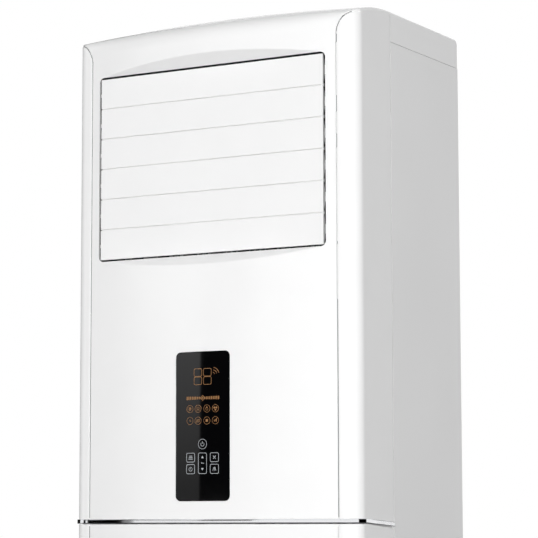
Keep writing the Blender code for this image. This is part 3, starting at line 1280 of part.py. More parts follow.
def build():
    clear_scene()
    base_pan()
    side_panel("side_panel_left", -1)
    side_panel("side_panel_right", 1)
    back_panel()
    top_cover()
    pipe_grommet()
    cable_gland()
    upper_front_panel()
    trim_strip()
    lower_front_panel()
    intake_grille()
    air_filter()
    display_glass()
    display_board()
    outlet_duct()
    blades = louvres()
    louvre_link(blades[0])
    stepper("louvre_motor", (DUCT_HALF_WIDTH + DUCT_WALL + SEAT, *louvre_axis(MOTOR_LOUVRE)[1:]), (1, 0, 0))
    uprights = vanes()
    vane_link(uprights[0])
    stepper("vane_motor", (vane_x(0), VANE_Y, DUCT_FLOOR - DUCT_WALL - SEAT), (0, 0, -1))
    blower_housing()
    inlet_ring()
    fan_wheel()
    wheel_plate()
    motor_bracket()
    fan_motor()
    fan_shaft()
    fan_nut()
    blower_deck()
    evaporator_fins()
    coil_plate("coil_plate_left", -1)
    coil_plate("coil_plate_right", 1)
    coil_rail()
    drain_pan()
    drain_hose()
    coil_pipe("gas_pipe", GAS_PIPE, 5, PIPE_CORNER_Y, 0.100, "copper")
    coil_pipe("liquid_pipe", LIQUID_PIPE, 0, PIPE_CORNER_Y - PIPE_APART, 0.020, "copper")
    control_box()
    control_box_cover()
    main_board()
    terminal_block()
    run_capacitor()


build()
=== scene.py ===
# %% [markdown]
# # Floor-standing air conditioner
# The object is the tall indoor unit of a split air conditioner. Its working parts come from a packed
# model with every size fixed. This lesson gives that model its finishes, and makes again, more finely,
# the parts that meet the eye: the bowed front, the top cover, the bright strip and the display.

# %% Load the model and keep its size
import json
import math

import bmesh
import bpy
import numpy as np
from mathutils import Matrix, Vector, kdtree


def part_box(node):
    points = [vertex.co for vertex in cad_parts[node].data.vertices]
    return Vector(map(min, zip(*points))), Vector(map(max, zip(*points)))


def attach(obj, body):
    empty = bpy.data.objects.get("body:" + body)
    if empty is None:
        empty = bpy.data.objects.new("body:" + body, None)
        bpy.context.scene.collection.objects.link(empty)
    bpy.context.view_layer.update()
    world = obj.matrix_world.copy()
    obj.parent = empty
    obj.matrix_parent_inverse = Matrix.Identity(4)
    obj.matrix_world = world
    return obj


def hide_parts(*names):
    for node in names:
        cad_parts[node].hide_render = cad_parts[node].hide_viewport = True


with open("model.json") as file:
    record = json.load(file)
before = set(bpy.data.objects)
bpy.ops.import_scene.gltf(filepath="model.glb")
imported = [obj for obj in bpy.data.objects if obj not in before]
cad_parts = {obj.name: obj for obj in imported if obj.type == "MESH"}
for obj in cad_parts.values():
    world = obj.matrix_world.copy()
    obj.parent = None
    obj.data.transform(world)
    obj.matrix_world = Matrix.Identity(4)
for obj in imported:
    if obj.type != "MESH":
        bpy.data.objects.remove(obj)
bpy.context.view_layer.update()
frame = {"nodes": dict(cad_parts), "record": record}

# %% [markdown]
# ## Sizes of the front
# A thermoformed or moulded front is described by two curves: its plan, seen from above, and its side
# section. The plan is a long bow, then a crease, then a quarter oval that turns the corner to the flat
# side. The values below are those of the model, in metres, and where a part's box gives them they are
# read from it.

# %% Name the sizes
shell_low, shell_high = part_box("upper_front_panel")
lower_low, lower_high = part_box("lower_front_panel")
cover_low, cover_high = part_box("top_cover")
trim_low, trim_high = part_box("trim_strip")
glass_low, glass_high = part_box("display_glass")
HALF = shell_high.x
FRONT_Y = shell_low.y
SIDE_END_Y = shell_high.y
HEIGHT = cover_high.z
WALL = 0.003
COLUMN_WIDTH = 0.0347
COLUMN_DEPTH = 0.0263
BOW_DEPTH = 0.0237
CREASE_X = HALF - COLUMN_WIDTH
CREASE_Y = FRONT_Y + BOW_DEPTH
CORNER_Y = CREASE_Y + COLUMN_DEPTH
BOW_RADIUS = (CREASE_X**2 + BOW_DEPTH**2) / (2 * BOW_DEPTH)
CROWN = 0.010
ROOF_ROLL = 0.322
EDGE_ROUND = 0.0065
TOP_ROUND, TOP_ROUND_CREASE, TOP_ROUND_SIDE = 0.034, 0.020, 0.006  # middle, crease, side
FLARE_HEIGHT = 0.060
WINDOW_Y = FRONT_Y + 0.019
LUNETTE = 0.0175
OUTLET = (0.2174, 1.440, 1.753)  # half width, bottom, top
INTAKE = (0.200, 0.170, 0.600)
CORNER_ROUND = 0.009
print("front:", round(2 * HALF * 1000), "mm wide, crease at", round(CREASE_X * 1000, 1), "mm")


# %% [markdown]
# ## The curves as functions
# A surface that is known as a formula can be draped: a flat grid is made, and each of its points is
# moved to its place on the formula. This gives clean, even faces, which a cut solid doesn't have, and
# smooth shading depends on them.

# %% Curves of the front
def front_y(x):
    """The bow, then the quarter oval of the corner."""
    out = abs(x)
    if out <= CREASE_X:
        return FRONT_Y + BOW_RADIUS - math.sqrt(BOW_RADIUS**2 - out**2)
    share = min(1.0, (out - CREASE_X) / COLUMN_WIDTH)
    return CREASE_Y + COLUMN_DEPTH * (1 - math.sqrt(1 - share**2))


def roof_z(x, y=SIDE_END_Y):
    """The top: crowned across, round at its side edges, rolling down to the front."""
    over = min(1.0, max(0.0, abs(x) - HALF + EDGE_ROUND) / EDGE_ROUND)
    edge = EDGE_ROUND * (1 - math.sqrt(1 - over**2))
    ahead = max(0.0, SIDE_END_Y - y)
    return HEIGHT - CROWN * (x / HALF) ** 2 - edge - ahead**2 / (2 * ROOF_ROLL)


def top_front(x):
    """Radius, centre and turn of the round between the face and the top."""
    out = min(abs(x), HALF)
    if out <= CREASE_X:
        radius = TOP_ROUND + (TOP_ROUND_CREASE - TOP_ROUND) * (out / CREASE_X) ** 4
    else:
        radius = TOP_ROUND_CREASE + (TOP_ROUND_SIDE - TOP_ROUND_CREASE) * (out - CREASE_X) / COLUMN_WIDTH
    centre_y = front_y(x) + radius
    slope = 0.0
    for _ in range(4):
        meet = centre_y - radius * math.sin(slope)
        slope = math.atan((SIDE_END_Y - meet) / ROOF_ROLL)
    return radius, centre_y, roof_z(x, meet) - radius * math.cos(slope), math.pi / 2 - slope


WINDOW_SOFT = 0.0009  # how softly the sloped faces meet the bow
SLOPE_REACH = 0.01  # past this far in front of the bow a sloped face has no part in it


def window_y(x, z, window):
    """The bow, planed flat round a window, with a sloped face above and below it."""
    half, bottom, top = window
    away = max(bottom - z, z - top, 0.0)
    plane = WINDOW_Y - away * (WINDOW_Y - FRONT_Y) / LUNETTE
    bow = front_y(x)
    if plane <= bow - SLOPE_REACH:
        return bow
    return (bow + plane + math.sqrt((bow - plane) ** 2 + WINDOW_SOFT**2) - WINDOW_SOFT * 0.5) / 2


def rounded_edge(x, half, level, inward, radius):
    """Height of a window's edge at x: straight, then round its corner by the radius."""
    out = min(max(0.0, abs(x) - half + radius), radius)
    return level + inward * (radius - math.sqrt(radius**2 - out**2))


print("top of the flat side:", round(roof_z(HALF) * 1000, 1), "mm")


# %% [markdown]
# ## Draped grids
# `bmesh.ops.create_grid` makes the flat grid. The helper below moves each point by a function of its
# column and row, so that a row can follow a curved edge exactly. Holes are then faces taken away, and
# Solidify gives the sheet its moulded wall.

# %% Helpers for pieces
def even(low, high, steps):
    """The numbers from low to high in equal steps, without the first."""
    return [low + (high - low) * (i + 1) / steps for i in range(steps)]


def mirrored(right):
    """The same numbers on both sides of zero."""
    return [-x for x in reversed(right[1:])] + list(right)


def draped(columns, rows, place):
    """A grid with one point for each column and row, each put where place(column, row) says."""
    bm = bmesh.new()
    wide, tall = len(columns) - 1, len(rows) - 1
    bmesh.ops.create_grid(bm, x_segments=wide, y_segments=tall, size=0.5)
    for vert in bm.verts:
        i, j = round((vert.co.x + 0.5) * wide), round((vert.co.y + 0.5) * tall)
        vert.co = place(columns[i], rows[j])
    return bm


def drop_faces(bm, inside):
    """Takes away the faces whose middle is inside, which leaves a hole."""
    gone = [face for face in bm.faces if inside(face.calc_center_median())]
    bmesh.ops.delete(bm, geom=gone, context="FACES")


def new_object(bm, name, material):
    """Puts a bmesh into the scene as an object, and frees it."""
    mesh = bpy.data.meshes.new(name)
    bm.to_mesh(mesh)
    bm.free()
    mesh.materials.append(material)
    made = bpy.data.objects.new(name, mesh)
    bpy.context.scene.collection.objects.link(made)
    return made


def as_piece(bm, name, material, body, replaced=(), wall=0.0, bevel=0.0, segments=2,
             smooth=True, angle=50):
    """A finished object from a bmesh: material, wall, small edge rounds and body."""
    made = new_object(bm, name, material)
    if smooth:
        made.data.shade_smooth()
    else:
        made.data.shade_flat()
    if wall:
        solid = made.modifiers.new("wall", "SOLIDIFY")
        solid.thickness, solid.offset, solid.use_even_offset = wall, -1, True
    if bevel:
        edge = made.modifiers.new("edges", "BEVEL")
        edge.width, edge.segments, edge.limit_method = bevel, segments, "ANGLE"
        edge.angle_limit, edge.harden_normals, edge.use_clamp_overlap = math.radians(angle), True, True
    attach(made, body)
    if replaced:
        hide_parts(*replaced)
    print(name, len(made.data.polygons), "faces")
    return made


# %% [markdown]
# ## Finishes
# Each finish is one node material that starts from what the real thing is. Colours are written as the
# hex values that a screen shows and turned to linear light by one function. One small function adds a
# node with its settings, its values and its links.

# %% Helpers for finishes
def linear(code):
    """Linear colour of an sRGB hex code."""
    parts = [int(code[i : i + 2], 16) / 255 for i in (1, 3, 5)]
    return tuple([p / 12.92 if p <= 0.04045 else ((p + 0.055) / 1.055) ** 2.4 for p in parts] + [1.0])


def per_metre(size_mm):
    """Pattern scale for features of this size."""
    return 1000.0 / size_mm


def add(tree, kind, inputs=None, **settings):
    """Adds a node, gives it its settings, and sets or links its inputs."""
    node = tree.nodes.new(kind)
    for name, value in settings.items():
        setattr(node, name, value)
    for name, value in (inputs or {}).items():
        if isinstance(value, bpy.types.NodeSocket):
            tree.links.new(value, node.inputs[name])
        else:
            node.inputs[name].default_value = value
    return node


def new_finish(name, colour, roughness, metallic=0.0, **more):
    """A material whose shader has its plain values set, with object coordinates ready."""
    made = bpy.data.materials.new(name)
    made.use_nodes = True
    tree = made.node_tree
    shader = tree.nodes["Principled BSDF"]
    shader.inputs["Base Color"].default_value = linear(colour)
    shader.inputs["Roughness"].default_value = roughness
    shader.inputs["Metallic"].default_value = metallic
    for key, value in more.items():
        shader.inputs[key.replace("_", " ")].default_value = value
    place = add(tree, "ShaderNodeTexCoord").outputs["Object"]
    return made, tree, shader, place


def relief(tree, shader, height, depth_mm, strength=1.0):
    """Raises the surface by a pattern, to a real depth."""
    bump = add(tree, "ShaderNodeBump", {"Height": height, "Distance": depth_mm / 1000, "Strength": strength})
    tree.links.new(bump.outputs["Normal"], shader.inputs["Normal"])


def tint(tree, shader, pattern, low, high, start=0.3, end=0.7):
    """Colours the surface between two hex colours by a pattern."""
    ramp = add(tree, "ShaderNodeValToRGB", {"Fac": pattern})
    ramp.color_ramp.elements[0].position, ramp.color_ramp.elements[0].color = start, linear(low)
    ramp.color_ramp.elements[1].position, ramp.color_ramp.elements[1].color = end, linear(high)
    tree.links.new(ramp.outputs["Color"], shader.inputs["Base Color"])


def vary_gloss(tree, shader, pattern, low, high):
    """Lets the roughness follow a pattern between two values."""
    gloss = add(tree, "ShaderNodeMapRange", {"Value": pattern, "To Min": low, "To Max": high})
    tree.links.new(gloss.outputs["Result"], shader.inputs["Roughness"])


# %% [markdown]
# ### White gloss ABS
# The front is ABS moulded in a polished tool. It has almost no texture, only a very slight waviness
# from the way that the plastic shrinks, a hand's width across and a few hundredths of a millimetre
# deep, and a haze of tiny flow marks that varies its gloss.

# %% Moulded whites
def white_plastic(name, colour, shade, roughness):
    made, tree, shader, place = new_finish(name, colour, roughness, IOR=1.53)
    flow = add(tree, "ShaderNodeTexNoise", {"Vector": place, "Scale": per_metre(90), "Detail": 2.0})
    tint(tree, shader, flow.outputs["Fac"], shade, colour, 0.25, 0.65)
    haze = add(tree, "ShaderNodeTexNoise", {"Vector": place, "Scale": per_metre(6), "Detail": 3.0})
    vary_gloss(tree, shader, haze.outputs["Fac"], roughness * 0.85, roughness * 1.2)
    relief(tree, shader, flow.outputs["Fac"], 0.03, 0.4)
    return made


gloss_white = white_plastic("gloss_abs_white", "#F4F4F4", "#F2F2F2", 0.16)
satin_white = white_plastic("satin_abs_white", "#F2F2F2", "#F0F0F0", 0.30)


# %% [markdown]
# ### Powder coat
# The cabinet's sheets are steel with a baked powder coat. The powder melts into a skin with a fine
# orange peel, about two millimetres from crest to crest, which breaks up reflections.

# %% Powder-coated sheet
powder_white, tree, shader, place = new_finish("powder_coat_white", "#F6F6F6", 0.34, IOR=1.5)
peel = add(tree, "ShaderNodeTexNoise", {"Vector": place, "Scale": per_metre(2.2), "Detail": 2.0})
relief(tree, shader, peel.outputs["Fac"], 0.02, 0.35)
drift = add(tree, "ShaderNodeTexNoise", {"Vector": place, "Scale": per_metre(300), "Detail": 1.0})
tint(tree, shader, drift.outputs["Fac"], "#F4F4F4", "#F8F8F8")
print("whites:", gloss_white.name, satin_white.name, powder_white.name)

# %% [markdown]
# ### Glass, chrome and dark parts
# The display window is smoked acrylic, the strip is chrome plate on plastic. Chrome has hardly any
# colour of its own: what it shows is the room. A little unevenness in its roughness keeps it from
# looking like a perfect mirror.

# %% Glass and chrome
smoked_acrylic, tree, shader, place = new_finish("smoked_acrylic", "#060607", 0.035, IOR=1.55)
dust = add(tree, "ShaderNodeTexNoise", {"Vector": place, "Scale": per_metre(12), "Detail": 4.0})
vary_gloss(tree, shader, dust.outputs["Fac"], 0.025, 0.06)

chrome_plate, tree, shader, place = new_finish("chrome_plate", "#E9EAEC", 0.06, 1.0)
smear = add(tree, "ShaderNodeTexNoise", {"Vector": place, "Scale": per_metre(15), "Detail": 3.0})
vary_gloss(tree, shader, smear.outputs["Fac"], 0.04, 0.09)
print("acrylic and chrome made")


# %% [markdown]
# ### Etched plastics and foam
# The tools of hidden plastic parts are etched, which gives them a fine grain that hides scratches. Bead
# foam has the same look at a larger scale, because its beads meet in small hollows, so one function
# makes all of them from a grain size and depth.

# %% Grained plastics, foam and net
def grained(name, colour, shade, roughness, grain_mm, depth_mm):
    """Plastic from an etched tool: a fine leathery grain in its skin."""
    made, tree, shader, place = new_finish(name, colour, roughness)
    grain = add(tree, "ShaderNodeTexVoronoi", {"Vector": place, "Scale": per_metre(grain_mm)})
    relief(tree, shader, grain.outputs["Distance"], depth_mm, 0.5)
    broad = add(tree, "ShaderNodeTexNoise", {"Vector": place, "Scale": per_metre(25), "Detail": 3.0})
    tint(tree, shader, broad.outputs["Fac"], shade, colour)
    return made


dark_abs = grained("etched_dark_abs", "#2A2B2D", "#232426", 0.5, 1.5, 0.05)
# shaded_joint is painted shade: its grey stands in for the shade inside narrow gaps and recesses
joint_shadow = grained("shaded_joint", "#77787A", "#6C6D6F", 0.7, 1.5, 0.02)
bead_foam = grained("expanded_bead_foam", "#C9C9C6", "#BDBDBA", 0.85, 3.5, 0.25)
grey_hose = grained("grey_pvc", "#8B8D8F", "#7F8183", 0.55, 2.0, 0.04)
grey_net = grained("grey_filter_frame", "#6E7276", "#64686C", 0.6, 1.5, 0.04)
net_thread = grained("polypropylene_net", "#3C4044", "#34383C", 0.6, 1.0, 0.02)
print("etched plastics, foam and net: 6")

# %% [markdown]
# ### Metals
# Galvanised sheet shows spangle: zinc crystals of a centimetre or so, each with its own tone, because
# each reflects in its own direction. Drawn copper tube and aluminium fin stock are plain but never
# even: handling leaves fine streaks and darker, oxidised patches.

# %% Metals
galvanised, tree, shader, place = new_finish("galvanised_sheet", "#D3D6D8", 0.45, 1.0)
spangle = add(tree, "ShaderNodeTexVoronoi", {"Vector": place, "Scale": per_metre(11)})
grey_tone = add(tree, "ShaderNodeSeparateColor", {"Color": spangle.outputs["Color"]})
tint(tree, shader, grey_tone.outputs["Red"], "#C3C7CA", "#DFE1E3", 0.0, 1.0)
vary_gloss(tree, shader, grey_tone.outputs["Green"], 0.38, 0.55)


def worked_metal(name, colour, shade, roughness, streak_mm):
    """Drawn or turned metal: streaks along Z and patches of oxide."""
    made, tree, shader, place = new_finish(name, colour, roughness, 1.0)
    stretch = add(tree, "ShaderNodeMapping", {"Vector": place, "Scale": (1.0, 1.0, 0.08)})
    streaks = add(tree, "ShaderNodeTexNoise", {
        "Vector": stretch.outputs["Vector"], "Scale": per_metre(streak_mm), "Detail": 5.0,
    })
    tint(tree, shader, streaks.outputs["Fac"], shade, colour)
    return made


zinc_screw = worked_metal("zinc_plated_screw", "#C2C5C8", "#A9ADB1", 0.3, 3)
aluminium = worked_metal("mill_aluminium", "#C9CCCE", "#AEB2B5", 0.34, 6)
copper = worked_metal("drawn_copper", "#D08A62", "#9A5A3C", 0.28, 9)
brass = worked_metal("turned_brass", "#D2B36C", "#A8884A", 0.30, 5)

# %% [markdown]
# ### Fin stock and circuit board
# A coil has several hundred fins 1.8 mm apart. Modelling each is possible, but a wave pattern used as
# relief and as tone shows the same from a step away and costs nothing; the dark of its tone is painted
# shade, that of the gaps between the fins. The board has a mask of green lacquer over its copper tracks.

# %% Fins and board
fin_stock, tree, shader, place = new_finish("fin_stock", "#B9BEC2", 0.42, 1.0)
FIN_PITCH_MM = 7.2  # four fins as one, because 1.8 mm is too fine for the picture
WAVE_TURN = 2 * math.pi / 20  # a band wave at scale 1 repeats every 2 pi / 20 metres
fins = add(tree, "ShaderNodeTexWave", {"Vector": place, "Scale": per_metre(FIN_PITCH_MM) * WAVE_TURN},
           wave_type="BANDS", bands_direction="X")
# the dark bands are painted shade of the gaps between the fins
tint(tree, shader, fins.outputs["Fac"], "#5F6468", "#C4C9CC", 0.2, 0.7)
relief(tree, shader, fins.outputs["Fac"], 0.8, 0.8)

green_board, tree, shader, place = new_finish("solder_mask_green", "#1F5B3A", 0.35)
tracks = add(tree, "ShaderNodeTexBrick", {
    "Vector": place, "Scale": per_metre(30), "Color1": linear("#1F5B3A"), "Color2": linear("#2A6E48"),
    "Mortar": linear("#B8B08A"), "Mortar Size": 0.012,
})
tree.links.new(tracks.outputs["Color"], shader.inputs["Base Color"])
relief(tree, shader, tracks.outputs["Fac"], 0.05, 0.4)
print(len(bpy.data.materials), "finishes")

# %% [markdown]
# ## Finishes onto the model's parts
# The record of the model names a slot for each part. A part keeps its mesh as it is, and only its
# material changes. Steel sheets, castings and mouldings so get the finish that they are made with.

# %% Dress the model's parts
FINISH_OF_SLOT = {
    "white_gloss": gloss_white, "cabinet_paint": powder_white, "louvre_white": satin_white,
    "black_glass": smoked_acrylic, "chrome": chrome_plate, "dark_plastic": dark_abs,
    "foam_duct": bead_foam, "galvanised": galvanised, "aluminium": aluminium, "copper": copper,
    "brass": brass, "board_green": green_board, "hose_grey": grey_hose, "filter_grey": grey_net,
}
slot_of = {part["node"]: part["material_slot"] for part in frame["record"]["subparts"]}
for name, node in frame["nodes"].items():
    finish = fin_stock if name == "evaporator_fins" else FINISH_OF_SLOT[slot_of[name]]
    node.data.materials.clear()
    node.data.materials.append(finish)
print(len(frame["nodes"]), "parts dressed")


# %% [markdown]
# ## The upper front
# The big moulding with the air outlet is one sheet. The crease in it is a half-round groove that flares
# outwards at the top. Its path is a row of points, close enough together to measure distances from: the
# grid is made fine near the path, and its points are then pressed inwards by their distance from it.

# %% Path of the crease
GROOVE_REACH, GROOVE_DEPTH = 0.0015, 0.0018  # half its width, and its depth
ROUTE_STEP, ROUTE_PAST = 0.0005, 0.01  # between points, and how far the path runs past the shell
FLARE_STEPS, FLARE_SHARE = 140, 0.95  # the flare ends this share of the way across the column
flare_start = roof_z(CREASE_X) - FLARE_HEIGHT
flare_end = roof_z(HALF, CORNER_Y)


def crease_route():
    """Points up the right crease of the upper front."""
    start = shell_low.z - ROUTE_PAST
    points = [(CREASE_X, CREASE_Y, z) for z in np.arange(start, flare_start, ROUTE_STEP)]
    for turn in np.linspace(0, math.pi / 2, FLARE_STEPS):
        x = CREASE_X + COLUMN_WIDTH * FLARE_SHARE * (1 - math.cos(turn))
        z = flare_start + (flare_end - flare_start) * math.sin(turn)
        radius, centre_y, centre_z, _ = top_front(x)
        over = min(radius, max(0.0, z - centre_z))
        points.append((x, centre_y - math.sqrt(radius**2 - over**2), z))
    return np.array(points)


print("points of the crease:", len(crease_route()))

# %% [markdown]
# ### Where the columns and rows go
# Columns and rows lie where something happens: at the corners and edges of the display and the outlet,
# along the curved edges of the two sloped faces, and close together at the crease and the rounded edge.
# A row is a function of x, so it can follow a curved edge.

# %% Columns
COARSE, FINE, FINE_MARGIN = 0.012, 0.0007, 0.0028  # widths of columns, and fine ones beside the crease


def quarter(middle, radius, steps):
    """Columns round a quarter circle, close together where it is steep."""
    return [middle + radius * math.sin(math.radians(90 / steps * (k + 1))) for k in range(steps)]


def columns_across(windows, fine_to):
    """x of the columns: even, but close round the window corners, the crease and the edge."""
    right = [0.0]
    for half, radius in windows:
        right += even(right[-1], half - radius, max(2, round((half - radius - right[-1]) / COARSE)))
        right += quarter(half - radius, radius, 6)
    start = CREASE_X - FINE_MARGIN
    right += even(right[-1], start, 3)
    right += even(start, fine_to, round((fine_to - start) / FINE))
    edge = HALF - EDGE_ROUND
    if fine_to < edge:
        right += even(fine_to, edge, 7)
    return mirrored(right + quarter(edge, EDGE_ROUND, 12))


display_half, display_round = glass_high.x, 0.009
windows_above = [(display_half, display_round), (OUTLET[0], CORNER_ROUND)]
upper_columns = columns_across(windows_above, HALF - EDGE_ROUND)
print(len(upper_columns), "columns")

# %% Rows round a window
CREST_ROWS = (-0.0022, -0.0014, -0.0007, 0.0, 0.0007, 0.0014, 0.0022)  # across the crest of a slope
ROW_GAP, ROW_SQUEEZE = 0.0002, 0.05  # keep rows apart where the slope has run out


def level_row(z):
    return lambda x: z


def window_rows(half, bottom, top, radius):
    """Rows below, along and above a window: its curved slopes, then its rounded edges."""
    window = (half, bottom, top)

    def lune(x):
        return LUNETTE * max(0.0, (WINDOW_Y - front_y(x)) / (WINDOW_Y - FRONT_Y))

    def low_edge(x):
        return rounded_edge(x, half, bottom, 1, radius)

    def high_edge(x):
        return rounded_edge(x, half, top, -1, radius)

    below, above = [], []
    for away in CREST_ROWS:
        squeezed = away * ROW_SQUEEZE - ROW_GAP
        below.append(lambda x, a=away, s=squeezed: min(bottom - lune(x) + a, low_edge(x) + s))
        above.insert(0, lambda x, a=away, s=squeezed: max(top + lune(x) - a, high_edge(x) - s))
    for share in (0.35, 0.75):
        below.append(lambda x, s=share: below[6](x) + (low_edge(x) - below[6](x)) * s)
        above.insert(0, lambda x, s=share, f=above[0]: f(x) + (high_edge(x) - f(x)) * s)
    return window, below + [low_edge], [high_edge] + above


outlet_window, outlet_below, outlet_above = window_rows(*OUTLET, CORNER_ROUND)
print(len(outlet_below) + len(outlet_above), "rows round the outlet")

# %% All rows of the upper front
HEM, FINE_BELOW = 0.0015, 0.003  # first row above the lower edge; fine rows start below the flare
FINE_STEPS, ARC_STEPS, ROOF_STEPS = 44, 14, 10
glass_rows = [
    lambda x: rounded_edge(x, display_half, glass_low.z, 1, display_round),
    lambda x: rounded_edge(x, display_half, glass_high.z, -1, display_round),
]
face_rows = [level_row(shell_low.z), level_row(shell_low.z + HEM)]
face_rows += glass_rows + outlet_below + outlet_above
upper_rows = [("face", row) for row in face_rows]
fine_low = flare_start - FINE_BELOW
upper_rows += [("rise", k / FINE_STEPS) for k in range(FINE_STEPS + 1)]
upper_rows += [("arc", (k + 1) / ARC_STEPS) for k in range(ARC_STEPS)]
upper_rows += [("roof", (k + 1) / ROOF_STEPS) for k in range(ROOF_STEPS)]
print(len(upper_rows), "rows in all")


# %% [markdown]
# ### Draping and pressing the sheet
# Each kind of row has its own rule: the face, the fine rise to the round, the arc of the round, and the
# roof behind it. The holes come next, then the groove, and last the two flat sides are drawn back from
# the outer edges.

# %% Helpers for the two front shells
SEAM_FALL = 0.005  # how far the seam with the strip falls along the flat side
SHELL_SHORT = 0.0008  # the shells stop this much short of the side sheets, which leaves a line of shade
SHELL_BEVEL = 0.0008
SMALL = 1e-6  # closer than this counts as the same place
MERGE = 1e-5  # points of one corner that lie this close become one
RELIEF_SHARE = 0.03  # the flat side starts to fall this share of its depth behind the corner
relief_y = CORNER_Y + RELIEF_SHARE * (SIDE_END_Y - CORNER_Y)


def press_groove(bm, route):
    """Moves the points near the crease inwards, along their normals."""
    bm.normal_update()
    moves = []
    for vert in bm.verts:
        x, y, z = abs(vert.co.x), vert.co.y, vert.co.z
        if x < CREASE_X - 2 * GROOVE_REACH:
            continue
        gap = np.sqrt(((route - (x, y, z)) ** 2).sum(axis=1)).min()
        if gap < GROOVE_REACH:
            depth = GROOVE_DEPTH * 0.5 * (1 + math.cos(math.pi * gap / GROOVE_REACH))
            moves.append((vert, vert.normal * -depth))
    for vert, move in moves:
        vert.co += move
    return len(moves)


def inside_window(p, half, bottom, top):
    """Whether a point lies in a window with rounded corners."""
    low = rounded_edge(p.x, half, bottom, 1, CORNER_ROUND)
    high = rounded_edge(p.x, half, top, -1, CORNER_ROUND)
    return abs(p.x) < half and low < p.z < high


def side_flats(bm, steps):
    """Draws the two outer edges back to form the flat sides, one stop at a time."""
    for side in (-1, 1):
        rim = [e for e in bm.edges
               if e.is_boundary and all(abs(v.co.x - side * HALF) < SMALL for v in e.verts)]
        for back_to in steps:
            drawn = bmesh.ops.extrude_edge_only(bm, edges=rim)["geom"]
            for vert in (g for g in drawn if isinstance(g, bmesh.types.BMVert)):
                vert.co = back_to(vert.co)
            rim = [g for g in drawn if isinstance(g, bmesh.types.BMEdge)]
    bmesh.ops.remove_doubles(bm, verts=bm.verts, dist=MERGE)
    bmesh.ops.recalc_face_normals(bm, faces=bm.faces)


def facing(bm, way):
    """Turns the sheet round if the face that lies furthest this way looks the other way."""
    bm.normal_update()
    outer = max(bm.faces, key=lambda f: f.calc_center_median().dot(way))
    if outer.normal.dot(way) < 0:
        bmesh.ops.reverse_faces(bm, faces=bm.faces)


FRONT, LEFT, UP = Vector((0, -1, 0)), Vector((-1, 0, 0)), Vector((0, 0, 1))


# %% Drape and press the upper front
def upper_place(x, row):
    """Where a point of the upper front lies."""
    kind, value = row
    radius, centre_y, centre_z, turn = top_front(x)
    if kind == "face":
        z = value(x)
        return Vector((x, window_y(x, z, outlet_window), z))
    if kind == "rise":
        return Vector((x, front_y(x), fine_low + (centre_z - fine_low) * value))
    angle = turn * (value if kind == "arc" else 1.0)
    y, z = centre_y - radius * math.cos(angle), centre_z + radius * math.sin(angle)
    if kind == "roof":
        y += (SIDE_END_Y - y) * value
        z = roof_z(x, y)
    return Vector((x, y, z))


def to_side_end(p):
    """Last stop of the flat side, whose lower edge falls with the seam."""
    fall = SEAM_FALL if p.z < shell_low.z + HEM / 2 else 0.0
    return Vector((p.x, SIDE_END_Y - SHELL_SHORT, p.z - fall))


bm = draped(upper_columns, upper_rows, upper_place)
drop_faces(bm, lambda p: p.y < 0 and inside_window(p, *OUTLET))
drop_faces(bm, lambda p: abs(p.x) < display_half and glass_low.z < p.z < glass_high.z)
print("groove points:", press_groove(bm, crease_route()))
side_flats(bm, [lambda p: Vector((p.x, max(p.y, relief_y), p.z)), to_side_end])
facing(bm, FRONT)
upper_shell = as_piece(bm, "upper_front_shell", gloss_white, "cabinet", ["upper_front_panel"],
                       wall=WALL, bevel=SHELL_BEVEL, segments=3, angle=60)

# %% [markdown]
# ## The joint in the crease
# The corner column and the bowed face are two mouldings snapped together, and the joint between them is
# an open gap on the face's side of the groove, too narrow to look into. The shade inside it is painted: a
# dark ribbon covers that wall of the groove. Each point of the ribbon takes the normal of the nearest point
# of the shell, so that it leans with the surface all the way round the flare.

# %% Painted shade of the joint
JOINT_WIDTH, JOINT_DEPTH, JOINT_LIFT, JOINT_THICK = 0.0006, 0.0012, 0.0001, 0.0002
JOINT_EVERY, JOINT_END = 4, 0.001  # it takes every fourth point, and stops short at its ends


def crease_shade_ribbon(name, route, shell, low, high, body):
    """A ribbon of painted shade on the inner wall of the groove, on both sides, from one height to another.
    """
    tree = kdtree.KDTree(len(shell.data.vertices))
    for vert in shell.data.vertices:
        tree.insert(vert.co, vert.index)
    tree.balance()
    points = [Vector(p) for p in route[::JOINT_EVERY] if low < p[2] < high]
    last = len(points) - 1

    def place(k, share):
        along = (points[min(last, k + 1)] - points[max(0, k - 1)]).normalized()
        normal = shell.data.vertices[tree.find(points[k])[1]].normal
        across = along.cross(normal).normalized()
        return points[k] - across * JOINT_WIDTH * share - normal * (JOINT_DEPTH * (1 - share) + JOINT_LIFT)

    bm = draped(list(range(last + 1)), [0.0, 1.0], place)
    whole = list(bm.verts) + list(bm.edges) + list(bm.faces)
    bmesh.ops.mirror(bm, geom=whole, axis="X", merge_dist=-1)
    facing(bm, FRONT)
    for face in bm.faces:
        if face.normal.y > 0:
            face.normal_flip()
    as_piece(bm, name, joint_shadow, body, wall=JOINT_THICK)


# painted shade of the upper crease's joint: a dark ribbon in the groove
crease_shade_ribbon("upper_crease_shade", crease_route(), upper_shell,
             shell_low.z + JOINT_END, flare_end - JOINT_END, "cabinet")

# %% [markdown]
# ## The line round the outlet
# The shut louvres stand in the outlet with a narrow gap all round, which reads as one even dark line. The
# cut edge of the opening is white, so the shade of the gap is painted: a dark strip a fraction of a
# millimetre thick lines the edge, just behind its rounding. It is a ribbon, draped round the rounded
# rectangle.

# %% Painted shade round the outlet
GAP_SHADE_INSET, GAP_SHADE_START, GAP_SHADE_DEPTH, GAP_SHADE_THICK = 0.0003, 0.0009, 0.0026, 0.0002
OUTLET_HALF, OUTLET_LOW, OUTLET_HIGH = OUTLET


